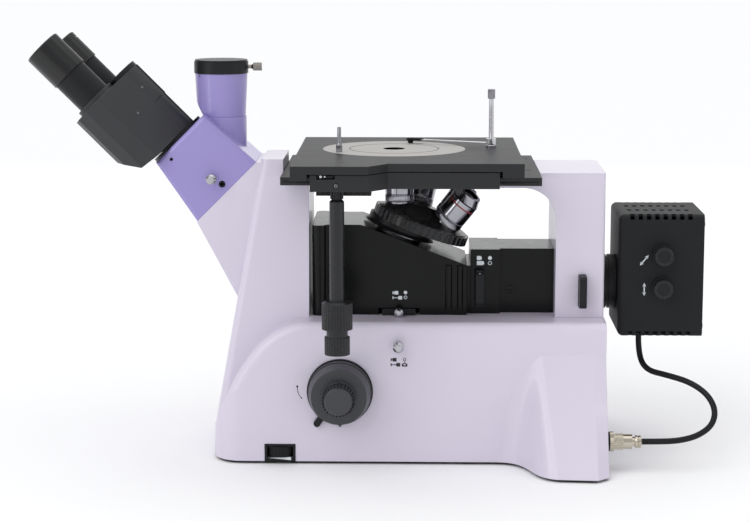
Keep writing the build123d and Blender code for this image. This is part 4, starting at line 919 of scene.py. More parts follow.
@dataclass
class LampCable:
    """Cable that hangs from the lamp house to its plug at the rear of the base.

    Attributes:
        diameter: Outer diameter of the sheath.
        length: Real length of the cable; not used.
        gland_length: Length of the plug's tail, which carries the gland.
        route: Points of its route; x counts from the specimen opening.
    """

    diameter: float = 0.0062
    length: float = 0.235
    gland_length: float = 0.010
    route: tuple[Point3, ...] = (
        (0.261, -0.020, 0.1246), (0.261, -0.020, 0.104), (0.267, -0.038, 0.089), (0.288, -0.060, 0.088),
        (0.309, -0.078, 0.085), (0.326, -0.091, 0.075), (0.3335, -0.100, 0.060), (0.329, -0.107, 0.0455),
        (0.314, -0.112, 0.036), (0.296, -0.114, 0.0315), (0.276, -0.114, 0.0302), (0.256, -0.114, 0.0302))

    def plug_rings(self) -> bpy.types.Object:
        """Turn the plug's knurled nut and its grooved gland.

        Returns:
            The piece.
        """
        low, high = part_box("lamp_plug")
        _, y, z = middle("lamp_plug")
        shaper = Shaper("lamp_plug_rings", NICKEL)
        nut = rear_face(low.x - MID_X, y, z)
        shaper.lathe(nut, [(0.0080, 0.0), (0.0102, 0.0003), (0.0102, 0.0041), (0.0080, 0.0046)], 144,
                     ribs=36, rib_depth=0.0004)
        gland = rear_face(high.x - MID_X - self.gland_length, y, z)
        shaper.lathe(gland, [(0.0046, 0.0028), (0.0063, 0.0032), (0.0067, 0.0040), (0.0067, 0.0058),
                             (0.0059, 0.0062), (0.0059, 0.0068), (0.0067, 0.0072), (0.0067, 0.0088),
                             (0.0058, 0.0096), (0.0036, 0.0096)], 48)
        return shaper.piece("stand")

    def build(self) -> None:
        data = bpy.data.curves.new("lamp_cable_sheath", "CURVE")
        data.dimensions = "3D"
        data.bevel_depth = self.diameter / 2
        data.bevel_resolution = 6
        data.resolution_u = 16
        data.use_fill_caps = True
        line = data.splines.new("NURBS")
        line.points.add(len(self.route) - 1)
        for point, at in zip(line.points, self.route):
            point.co = (*spot(*at), 1.0)
        line.order_u = 3
        line.use_endpoint_u = True
        data.materials.append(SHEATH.material())
        made = add_object("lamp_cable_sheath", data)
        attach(made, "stand")
        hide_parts("lamp_cable")
        self.plug_rings()
        log.info("lamp_cable_sheath rides on stand")


@dataclass
class Stand:
    """Base, columns and their fittings.

    Attributes:
        side: Y of the base's near side.
        rear: X of the base's rear face.
        icon_left: Left end of the camera rod's two slider signs.
        icon_lows: Their lower edges.
        icon_stems: Lengths of their stems, pushed in and drawn out.
        sign_x: Place of the signs for eye and camera beside them.
        sign_heights: Heights of those signs.
        arc_centre: Centre of the printed arc beside the focus knobs.
        arc_radius: Its radius.
        arc_angles: Its first and last angle in degrees.
        arc_width: Width of its line.
        arc_dot: Radius of the dot at its start.
        arc_head: Length and half the width of the arrow head at its end.
        wedge_inset: How far the light control's wedge keeps from its bezel's left and right end.
        wedge_rise: Height of the wedge's tip above the bezel's lower edge.
        wedge_spread: How far its broad end reaches below and above that tip.
        inlet: Centre of the mains inlet: y and height.
        blades: Places of its blades from that centre: y and height.
        blade_half: Half the width and half the height of a blade.
        blade_root: How far a blade starts inside the rear face.
        blade_length: Its length.
        plate_screws: Places of the bottom plate's screws.
    """

    side: float = -0.098
    rear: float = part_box("stand_casting")[1].x - MID_X
    icon_left: float = -0.002
    icon_lows: Point2 = (0.1096, 0.1043)
    icon_stems: Point2 = (0.0004, 0.0042)
    sign_x: float = 0.0124
    sign_heights: Point2 = (0.1117, 0.1061)
    arc_centre: Point2 = (-0.0832, 0.0814)
    arc_radius: float = 0.0155
    arc_angles: Point2 = (175.0, 222.0)
    arc_width: float = 0.0006
    arc_dot: float = 0.0011
    arc_head: Point2 = (0.0020, 0.0009)
    wedge_inset: Point2 = (0.0040, 0.0045)
    wedge_rise: float = 0.0036
    wedge_spread: Point2 = (0.0024, 0.0010)
    inlet: Point2 = (0.040, 0.060)
    blades: tuple[Point2, ...] = ((-0.007, -0.002), (0.0, 0.002), (0.007, -0.002))
    blade_half: Point2 = (0.001, 0.002)
    blade_root: float = 0.0050
    blade_length: float = 0.0052
    plate_screws: tuple[Point2, ...] = ((-0.165, 0.0), (-0.09, 0.08), (-0.09, -0.08), (0.06, 0.085),
                                        (0.06, -0.085), (0.2, 0.06), (0.2, -0.06))

    def camera_signs(self) -> None:
        """Print the signs under the camera rod."""
        shaper = Shaper("camera_rod_signs", BLACK_PRINT)
        face = near_face(0, self.side, 0)
        for low, stem in zip(self.icon_lows, self.icon_stems):
            SliderIcon(self.icon_left, low, stem).draw(shaper, face)
        x, (eye, z) = self.sign_x, self.sign_heights
        pupil, stem_half, stem_low = 0.0016, 0.0005, 0.0024
        draw_ring(shaper, face, (x, eye), pupil, 0.0006)
        shaper.prism(face, rectangle(x - stem_half, eye - stem_low, x + stem_half, eye - pupil), PRINT_DEPTH)
        half, low, top, hump, roof_half, roof, lens = 0.0028, -0.0018, 0.0014, 0.0014, 0.0008, 0.0024, 0.0012
        outline = [(half, low), (half, top), (hump, top), (roof_half, roof), (-roof_half, roof),
                   (-hump, top), (-half, top), (-half, low)]
        angles = [math.atan2(b, a) for a, b in outline]
        inner = [(x + lens * math.cos(a), z + lens * math.sin(a)) for a in angles]
        shaper.band(face, [(x + a, z + b) for a, b in outline], inner, PRINT_DEPTH)
        shaper.piece("stand")

    def focus_sign(self) -> None:
        """Print the clamp's arc beside the focus knobs."""
        shaper = Shaper("focus_clamp_sign", BLACK_PRINT)
        face = near_face(0, self.side, 0)
        line = arc_points(self.arc_centre, self.arc_radius, *map(math.radians, self.arc_angles), 14)
        shaper.stroke(face, line, self.arc_width, PRINT_DEPTH)
        shaper.disc(face, line[0], self.arc_dot, PRINT_DEPTH)
        end, before = Vector(line[-1]), Vector(line[-4])
        along = (end - before).normalized()
        tip = end + along * self.arc_head[0]
        wing = Vector((-along.y, along.x)) * self.arc_head[1]
        shaper.prism(face, [tuple(tip), tuple(end + wing), tuple(end - wing)], PRINT_DEPTH)
        shaper.piece("stand")

    def dimmer_sign(self) -> None:
        """Print the rising wedge under the light control."""
        low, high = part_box("dimmer_bezel")
        left, right = low.x - MID_X + self.wedge_inset[0], high.x - MID_X - self.wedge_inset[1]
        tip = low.z + self.wedge_rise
        below, above = self.wedge_spread
        shaper = Shaper("dimmer_wedge_sign", WHITE_PRINT)
        wedge = [(left, tip), (right, tip - below), (right, tip + above)]
        shaper.prism(near_face(0, low.y, 0), wedge, PRINT_DEPTH)
        shaper.piece("stand")

    def inlet_pins(self) -> None:
        """Set the three blades in the mains inlet."""
        shaper = Shaper("inlet_blades", STEEL)
        (y, z), (half, tall) = self.inlet, self.blade_half
        for shift, rise in self.blades:
            root = rear_face(self.rear - self.blade_root, y + shift, z + rise)
            shaper.prism(root, rectangle(-half, -tall, half, tall), self.blade_length, bevel=0.0004)
        shaper.piece("stand")

    def bottom_screws(self) -> None:
        """Set the screws that hold the bottom plate."""
        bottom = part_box("base_plate")[0].z
        # the screws' sunk hexagons get painted shade
        shaper = Shaper("base_plate_screws", STEEL, SHADOW)
        for x, y in self.plate_screws:
            screw_head(shaper, under_face(x, y, bottom), 0.0032, 0.0012)
        shaper.piece("stand")

    def dress(self) -> None:
        """Paint the stand's CAD nodes."""
        dress(IVORY, "stand_casting", "rear_column")
        dress(HOUSING, "base_plate", "mirror_stand", "reflector_cube")
        dress(RUBBER, "rubber_feet")
        dress(PLASTIC, "dimmer_bezel", "dimmer_wheel", "rear_sockets")
        dress(TURNED_Y, "camera_rod")
        dress(LENS, "optics")
        dress(BOARD, "power_supply")

    def build(self) -> None:
        """Make the stand's details and dress its nodes."""
        self.camera_signs()
        self.focus_sign()
        self.dimmer_sign()
        self.inlet_pins()
        self.bottom_screws()
        self.dress()


@dataclass
class FocusDrive:
    """Coaxial focus knobs with the clamp ring.

    Attributes:
        x: Place of the shaft along X.
        height: Its height.
        fine_start: Y where a fine knob begins.
        ribs: Grip ribs round each fine knob.
        rib_foot: Radius at the ribs' inner end.
        rib_top: Radius at their outer end.
        rib_from: Where they start along the knob.
        rib_to: Where they end.
        rib_half: Half their width.
        rib_sink: How far they are sunk into the knob.
        clamp_y: Y of the clamp ring's screw.
        lug_drop: How far below the shaft that screw's stem begins.
        lug_length: From there to its head.
    """

    x: float = middle("fine_knobs").x
    height: float = middle("fine_knobs").z
    fine_start: float = 0.1281
    ribs: int = 30
    rib_foot: float = 0.0166
    rib_top: float = 0.0146
    rib_from: float = 0.0050
    rib_to: float = 0.0190
    rib_half: float = 0.00045
    rib_sink: float = 0.0006
    clamp_y: float = -0.0999
    lug_drop: float = 0.0335
    lug_length: float = 0.0027

    def grip_ribs(self) -> None:
        """Set the ribs on both fine knobs."""
        shaper = Shaper("fine_knob_ribs", KNOB)
        ends = ((self.rib_from, self.rib_foot), (self.rib_to, self.rib_top))
        for hand in (-1, 1):
            for index in range(self.ribs):
                angle = FULL_TURN * index / self.ribs
                out = Vector((math.cos(angle), 0, math.sin(angle)))
                foot, end = (spot(self.x, hand * (self.fine_start + at), self.height)
                             + out * (radius - self.rib_sink) for at, radius in ends)
                along = end - foot
                outline = rectangle(0, -self.rib_half, along.length, self.rib_half)
                shaper.prism(plane(foot, along, out), outline, 2 * self.rib_sink, bevel=0.0002)
        shaper.piece("fine_drive")

    def clamp_lug(self) -> None:
        """Set the small screw under the clamp ring."""
        # the screw's sunk hexagon gets painted shade
        shaper = Shaper("clamp_lug_screw", SATIN_BLACK, STEEL, SHADOW)
        seat, tip = (under_face(self.x, self.clamp_y, self.height - drop)
                     for drop in (self.lug_drop, self.lug_drop + self.lug_length))
        shaper.lathe(seat, [(0.0016, 0.0), (0.0016, 0.0024), (0.0013, 0.0028), (0, 0.0028)], 20, 0)
        screw_head(shaper, tip, 0.0015, 0.0014, 1, 2)
        shaper.piece("clamp")

    def dress(self) -> None:
        """Finish the knobs."""
        dress(KNOB, "coarse_knobs", "fine_knobs")
        dress(SATIN_BLACK, "clamp_lever")

    def build(self) -> None:
        """Make the drive's details and dress its nodes."""
        self.grip_ribs()
        self.clamp_lug()
        self.dress()


@dataclass
class Housings:
    """Reflector and illuminator housings with their slides.

    Attributes:
        reflector_face: Y of the reflector housing's near face.
        polarizer_face: Y of the illuminator housing's near face.
        relay_face: Y of the relay's near face.
        icon_left: Left end of the analyzer's two slider signs.
        icon_lows: Their lower edges.
        icon_stems: Lengths of their stems, pushed in and drawn out.
        dot_x: Place of the dot and the ring beside them.
        dot_heights: Heights of that dot and ring.
        dot_radius: Their radius.
        bar_left: Left end of the polarizer's two bars.
        bar_rights: Their right ends.
        bar_lows: Their lower edges.
        bar_height: Their height.
        bar_dot_x: Place of the dot and the ring beside the bars.
        bar_dot_heights: Heights of that dot and ring.
        bar_dot_radius: Their radius.
        ring_width: Width of a printed ring.
        relay_screw: Place of the relay's round screw: x and height.
        pull_knob: Length of the analyzer tray's bright knob.
    """

    reflector_face: float = -0.050
    polarizer_face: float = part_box("illuminator_housing")[0].y
    relay_face: float = -0.034
    icon_left: float = -0.0008
    icon_lows: Point2 = (0.1711, 0.1658)
    icon_stems: Point2 = (0.0004, 0.0044)
    dot_x: float = 0.0128
    dot_heights: Point2 = (0.1733, 0.1681)
    dot_radius: float = 0.0019
    bar_left: float = 0.0876
    bar_rights: Point2 = (0.0930, 0.0954)
    bar_lows: Point2 = (0.2066, 0.2012)
    bar_height: float = 0.0045
    bar_dot_x: float = 0.1014
    bar_dot_heights: Point2 = (0.2089, 0.2035)
    bar_dot_radius: float = 0.0021
    ring_width: float = 0.0008
    relay_screw: Point2 = (0.1225, 0.174)
    pull_knob: float = 0.0149

    def analyzer_signs(self) -> None:
        """Print the signs above the analyzer tray."""
        shaper = Shaper("analyzer_signs", WHITE_PRINT)
        face = near_face(0, self.reflector_face, 0)
        for low, stem in zip(self.icon_lows, self.icon_stems):
            SliderIcon(self.icon_left, low, stem).draw(shaper, face)
        dot, ring = ((self.dot_x, height) for height in self.dot_heights)
        shaper.disc(face, dot, self.dot_radius, PRINT_DEPTH)
        draw_ring(shaper, face, ring, self.dot_radius, self.ring_width)
        shaper.piece("stand")

    def polarizer_signs(self) -> None:
        """Print the signs above the polarizer slide."""
        shaper = Shaper("polarizer_signs", WHITE_PRINT)
        face = near_face(0, self.polarizer_face, 0)
        for low, right in zip(self.bar_lows, self.bar_rights):
            half = self.bar_height / 2
            end = arc_points((right - half, low + half), half, -math.pi / 2, math.pi / 2, 12)
            shaper.prism(face, [(self.bar_left, low), *end, (self.bar_left, low + 2 * half)], PRINT_DEPTH)
        dot, ring = ((self.bar_dot_x, height) for height in self.bar_dot_heights)
        shaper.disc(face, dot, self.bar_dot_radius, PRINT_DEPTH)
        draw_ring(shaper, face, ring, self.bar_dot_radius, self.ring_width)
        shaper.piece("stand")

    def slide_dot(self) -> None:
        """Put the white index dot on the polarizer slide's top edge."""
        low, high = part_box("polarizer_slide")
        shaper = Shaper("polarizer_index_dot", WHITE_PRINT)
        face = near_face(middle("polarizer_slide").x, low.y + 0.0022, high.z - 0.0024)
        shaper.lathe(face, [(0.0010, -0.0012), (0.0010, 0.0008), (0.0007, 0.0012), (0, 0.0013)], 16)
        shaper.piece("polarizer")

    def relay_screw_slot(self) -> None:
        """Set a rim on the relay's round screw, and a thin bar of painted shade on it where a driver slot's
        shade would fall.
        """
        shaper = Shaper("relay_screw_rim", SATIN_BLACK, SHADOW)
        face = near_face(self.relay_screw[0], self.relay_face - 0.0015, self.relay_screw[1])
        shaper.lathe(face, [(0.0044, 0.0), (0.0044, 0.0004), (0.0039, 0.0007), (0.0030, 0.0007)], 32, 0)
        # painted shade: a dark bar stands for the slot, which is not cut
        shaper.prism(face, rectangle(-0.0030, -0.0004, 0.0030, 0.0004), 0.0002, 1)
        shaper.piece("stand")

    def dress(self) -> None:
        """Finish the housings' nodes."""
        dress(HOUSING, "reflector_housing", "illuminator_housing")
        dress(PLASTIC, "polarizer_slide", "filter_slide")
        knob_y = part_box("analyzer_tray")[0].y + self.pull_knob
        dress_zones("analyzer_tray", SATIN_BLACK, [(TURNED_Y, lambda at, _: at.y < knob_y)])

    def build(self) -> None:
        """Make the housings' details and dress their nodes."""
        self.analyzer_signs()
        self.polarizer_signs()
        self.slide_dot()
        self.relay_screw_slot()
        self.dress()


@dataclass
class Objective:
    """One objective on the turret.

    Attributes:
        node: The CAD node that it stands for.
        socket: Number of its socket, counted round the turret.
        length: From its shoulder to its front.
        nose: Radius of the front.
        band: Finish of its coloured ring.
        band_at: Place of that ring along the barrel, as a share of the length.
        rim: Width of the bright rim round the sunk front.
        radius: Radius of the barrel.
    """

    node: str
    socket: int
    length: float
    nose: float
    band: Finish
    band_at: float = 0.58
    rim: float = 0.0032
    radius: float = 0.0155

    def build(self, place: Matrix) -> None:
        """Turn the objective and set it on its socket.

        Args:
            place: Frame on the socket's shoulder, its third axis along the objective.
        """
        r, long, nose = self.radius, self.length, self.nose
        ring, step = self.band_at * long, 0.80 * long
        shaper = Shaper(self.node + "_barrel", BARREL, self.band, SATIN_BLACK, LENS, SHADOW)
        shaper.lathe(place, [(0.0088, -0.0048), (0.0088, 0.0), (r - 0.001, 0.0), (r - 0.001, 0.002),
                             (r, 0.0024)], 72)
        shaper.lathe(place, [(r, 0.0024), (r, 0.0030), (r, 0.0085), (r, 0.0091)], 192, ribs=48,
                     rib_depth=0.0005)
        shaper.lathe(place, [(r, 0.0091), (r - 0.0006, 0.0096), (r - 0.0006, 0.0102), (r, 0.0107),
                             (r, ring)], 72)
        shaper.lathe(place, [(r, ring), (r - 0.0003, ring + 0.0002), (r - 0.0003, ring + 0.0011),
                             (r, ring + 0.0013)], 72, 1)
        shaper.lathe(place, [(r, ring + 0.0013), (r, step - 0.0008), (r - 0.0011, step - 0.0006)], 72)
        shaper.lathe(place, [(r - 0.0011, step - 0.0006), (r - 0.0011, step + 0.0002),
                             (r - 0.0003, step + 0.0004)], 72, 2)
        rim, lens, seat, bulge = nose + self.rim, 0.55 * nose, long - 0.0026, 0.0010
        shaper.lathe(place, [(r - 0.0003, step + 0.0004), (rim, long - 0.0020), (rim, long - 0.0004),
                             (rim - 0.0004, long), (nose + 0.0003, long), (nose, long - 0.0003)], 72)
        # painted shade on the sunk front's inner wall and seat round the lens
        shaper.lathe(place, [(nose, long - 0.0003), (nose - 0.0004, seat), (lens, seat)], 72, 4)
        dome = [(lens * math.cos(a), seat + bulge * math.sin(a)) for a in (0.0, 0.3, 0.6, 0.9, 1.2)]
        shaper.lathe(place, [*dome, (0, seat + bulge)], 48, 3)
        shaper.piece("nosepiece", self.node)


@dataclass
class Nosepiece:
    """Turret with its objectives.

    Attributes:
        axis_x: X of the optical axis.
        tilt: Lean of the turret in degrees.
        shoulder_height: Height where the objective in use sits.
        shoulder_reach: From the cone's apex to that shoulder.
        sockets: Number of sockets.
        objectives: The objectives on it.
    """

    axis_x: float = middle("objective_10x").x
    tilt: float = 21.0
    shoulder_height: float = 0.262
    shoulder_reach: float = 0.0824
    sockets: int = 5
    objectives: list[Objective] = field(default_factory=lambda: [
        Objective("objective_10x", 0, 0.041, 0.008, YELLOW_BAND),
        Objective("objective_5x", 2, 0.042, 0.009, RED_BAND, 0.64, 0.0036),
        Objective("objective_20x", 3, 0.042, 0.007, GREEN_BAND),
        Objective("objective_50x", 4, 0.043, 0.006, RED_BAND)])

    def socket_frame(self, socket: int) -> Matrix:
        """Return the frame on a socket's shoulder.

        Args:
            socket: Number of the socket.

        Returns:
            The frame, its third axis out of the turret.
        """
        cone = math.radians(self.tilt)
        apex = spot(self.axis_x, 0, self.shoulder_height - self.shoulder_reach)
        first = Vector((math.cos(cone), 0, -math.sin(cone)))
        third = Vector((math.sin(cone), 0, math.cos(cone)))
        second = third.cross(first)
        turn = math.pi + FULL_TURN * socket / self.sockets
        way = (first * math.cos(turn) + second * math.sin(turn)) * math.sin(cone) + third * math.cos(cone)
        return plane(apex + way * self.shoulder_reach, second, way)

    def build(self) -> None:
        """Make the objectives and dress the nosepiece's nodes."""
        for objective in self.objectives:
            objective.build(self.socket_frame(objective.socket))
        dress(TURRET, "turret")
        dress(SATIN_BLACK, "nosepiece_base", "turret_plug")
        dress(STEEL, "focus_carriage")


@dataclass
class Stage:
    """Mechanical stage with its insert, clip and drive handle.

    Attributes:
        top: Height of the stage's top face.
        pin: Place of the insert's turning pin.
        post: Place of the clip's post.
        post_radius: Radius of that post.
        clip_tip: Place of the clip's tip.
        clip_under: Height of the clip's pad above the top face.
        pad_back: How far the pad's foot lies behind the tip.
        centre_radius: Radius of the insert's centre.
        seam: Width of the painted shade band in the joint round it.
        hole_radius: Radius within which the specimen hole's wall lies, which gets painted shade.
        apron_face: Y of the apron's front.
        apron_back: Y of its shallow stretch.
        apron_step: X where the front starts to step back and where it has done so.
        apron_ends: X of its left and right end.
        apron_top: Height of its top.
        apron_screw: Place of its small screw: x and height.
        seam_height: Height of the painted shade band in the joint below its top.
        recess: Ends of the recess for the travel stop along X.
        recess_back: Y of the recess's back.
        recess_height: Height of the stop's pins.
        stop_pins: The stop's pins: distance from the recess's left end, and radius.
        stop_pin_length: Their length.
        lever_inset: Distance of the stop's lever from the recess's right end.
        lever_half: Half the length and half the height of that lever.
        lever_reach: How far it stands out from the recess's back.
    """

    top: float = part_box("stage_plate")[1].z
    pin: Point2 = tuple(middle("insert_pin").xy)
    post: Point2 = tuple(middle("clip_post").xy)
    post_radius: float = 0.0026
    clip_tip: Point2 = (0.0145, 0.055)
    clip_under: float = 0.0036
    pad_back: float = 0.003
    centre_radius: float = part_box("insert_centre")[1].y
    seam: float = 0.0006
    hole_radius: float = 0.0118
    apron_face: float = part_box("stage_apron")[0].y
    apron_back: float = -0.140
    apron_step: Point2 = (-0.024, -0.004)
    apron_ends: Point2 = tuple(corner.x - MID_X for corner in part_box("stage_apron"))
    apron_top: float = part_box("stage_apron")[1].z
    apron_screw: Point2 = (-0.0551, 0.3003)
    seam_height: float = 0.0011
    recess: Point2 = (-0.0745, -0.0560)
    recess_back: float = -0.1593
    recess_height: float = 0.3092
    stop_pins: tuple[Point2, ...] = ((0.0042, 0.0017), (0.0082, 0.0012))
    stop_pin_length: float = 0.0047
    lever_inset: float = 0.0052
    lever_half: Point2 = (0.0036, 0.0013)
    lever_reach: float = 0.0052

    def turning_pin(self) -> None:
        """Turn the insert's pin with its knurled sleeve."""
        place = top_face(*self.pin, self.top)
        shaper = Shaper("insert_turning_pin", STEEL)
        shaper.lathe(place, [(0, 0), (0.0029, 0.0), (0.0029, 0.0006), (0.0032, 0.0009)], 96)
        shaper.lathe(place, [(0.0032, 0.0009), (0.0032, 0.0013), (0.0032, 0.0066), (0.0032, 0.0070)], 96,
                     ribs=24, rib_depth=0.0003, lean=900.0)
        shaper.lathe(place, [(0.0032, 0.0070), (0.0030, 0.0080), (0.0021, 0.0095), (0.0020, 0.0100),
                             (0.0020, 0.0255), (0.0016, 0.0262), (0, 0.0265)], 48)
        shaper.piece("insert", "insert_pin")

    def clip_post(self) -> None:
        """Turn the clip's post with its flange and knurled cap."""
        place = top_face(*self.post, self.top)
        r = self.post_radius
        shaper = Shaper("clip_post_turned", CHROME, STEEL)
        shaper.lathe(place, [(0, 0), (0.0055, 0.0), (0.0055, 0.0022), (0.0050, 0.0028), (r + 0.0002, 0.0030),
                             (r, 0.0034), (r, 0.0520), (0.0036, 0.0520), (0.0039, 0.0524)], 96)
        shaper.lathe(place, [(0.0039, 0.0524), (0.0039, 0.0529), (0.0039, 0.0609), (0.0039, 0.0614)], 112, 1,
                     ribs=28, rib_depth=0.0003)
        shaper.lathe(place, [(0.0039, 0.0614), (0.0034, 0.0620), (0.0012, 0.0620), (0.0008, 0.0617),
                             (0, 0.0617)], 96, 1)
        shaper.piece("stage", "clip_post")

    def clip_pad(self) -> None:
        """Sleeve the clip's tip with its rubber pad."""
        tip = Vector(self.clip_tip)
        along = (tip - Vector(self.post)).normalized()
        height = self.top + self.clip_under
        place = plane(spot(tip.x, tip.y, height), Vector((along.x, along.y, 0)), Vector((0, 0, 1)))
        shaper = Shaper("clip_rubber_pad", RUBBER)
        body = [(-0.0170, -0.0038), (-0.002, -0.0043), (0.0008, -0.0030), (0.0008, 0.0030), (-0.002, 0.0043),
                (-0.0170, 0.0038)]
        shaper.prism(place, body, 0.0021, bevel=0.0004)
        foot = under_face(*(tip - along * self.pad_back), height)
        shaper.lathe(foot, [(0.0032, 0.0), (0.0030, 0.0022), (0.0024, 0.0032), (0, 0.0032)], 24)
        shaper.piece("clip")

    def insert_seam(self) -> None:
        """Paint the shade of the fine joint between the insert's ring and its centre as a thin dark band."""
        shaper = Shaper("insert_joint_painted_shade", SHADOW)
        place = top_face(0, 0, self.top)
        outer, inner = (arc_points((0, 0), radius, 0, FULL_TURN, 128)[:-1]
                        for radius in (self.centre_radius + self.seam, self.centre_radius))
        shaper.band(place, outer, inner, PRINT_DEPTH)
        shaper.piece("insert")

    def apron_seam(self) -> None:
        """Paint the shade in the joint between the top plate and the apron as a thin dark band."""
        shaper = Shaper("apron_joint_painted_shade", SHADOW)
        low = self.apron_top - self.seam_height
        front, back = self.apron_face, self.apron_back
        (left, right), (gap_start, gap_end) = self.apron_ends, self.recess
        step_start, step_end = self.apron_step
        for start, end in (((left, front), (gap_start, front)), ((gap_end, front), (step_start, front)),
                           ((step_start, front), (step_end, back)), ((step_end, back), (right, back))):
            first, last = spot(*start, low), spot(*end, low)
            along = last - first
            face = plane(first, along, along.cross(Vector((0, 0, 1))))
            shaper.prism(face, rectangle(0, 0, along.length, self.seam_height), PRINT_DEPTH)
        shaper.piece("stage")

    def stop_fittings(self) -> None:
        """Set the travel stop's bright pins and dark lever in the apron's recess."""
        shaper = Shaper("apron_stop_pins", CHROME, SATIN_BLACK)
        (left, right), end, chamfer = self.recess, self.stop_pin_length, 0.0005
        for shift, r in self.stop_pins:
            seat = near_face(left + shift, self.recess_back, self.recess_height)
            shaper.lathe(seat, [(r, 0.0), (r, end - chamfer), (r * 0.8, end), (0, end)], 24)
        lever = near_face(right - self.lever_inset, self.recess_back, self.recess_height)
        half, tall = self.lever_half
        shaper.prism(lever, rectangle(-half, -tall, half, tall), self.lever_reach, 1, bevel=chamfer)
        shaper.piece("stage")

    def apron_fittings(self) -> None:
        """Set the apron's small screw, with a ring of painted shade round its head."""
        shaper = Shaper("apron_screw", STEEL, SHADOW)
        face = near_face(self.apron_screw[0], self.apron_face, self.apron_screw[1])
        # painted shade in the ring round the screw head
        shaper.lathe(face, [(0.0024, 0.0), (0.0024, 0.0003), (0.0019, 0.0004), (0.0019, 0.0)], 24, 1)
        screw_head(shaper, face, 0.0018, 0.0008)
        shaper.piece("stage")

    def in_hole(self, at: Vector, normal: Vector) -> bool:
        """Return whether a face of the insert's centre belongs to the specimen hole's wall, which gets
        painted shade.
        """
        return abs(normal.z) < 0.5 and math.hypot(at.x - MID_X, at.y) < self.hole_radius

    def dress(self) -> None:
        """Finish the stage's nodes."""
        dress(CHARCOAL, "stage_plate", "stage_apron", "stage_base_plate", "cross_slide")
        dress(INSERT, "insert_ring")
        # painted shade on the specimen hole's wall
        dress_zones("insert_centre", INSERT, [(SHADOW, self.in_hole)])
        dress(CHROME, "clip_arm")
        dress(HANDLE, "x_drive", "y_drive")

    def build(self) -> None:
        """Make the stage's details and dress its nodes."""
        self.turning_pin()
        self.clip_post()
        self.clip_pad()
        self.insert_seam()
        self.apron_seam()
        self.stop_fittings()
        self.apron_fittings()
        self.dress()


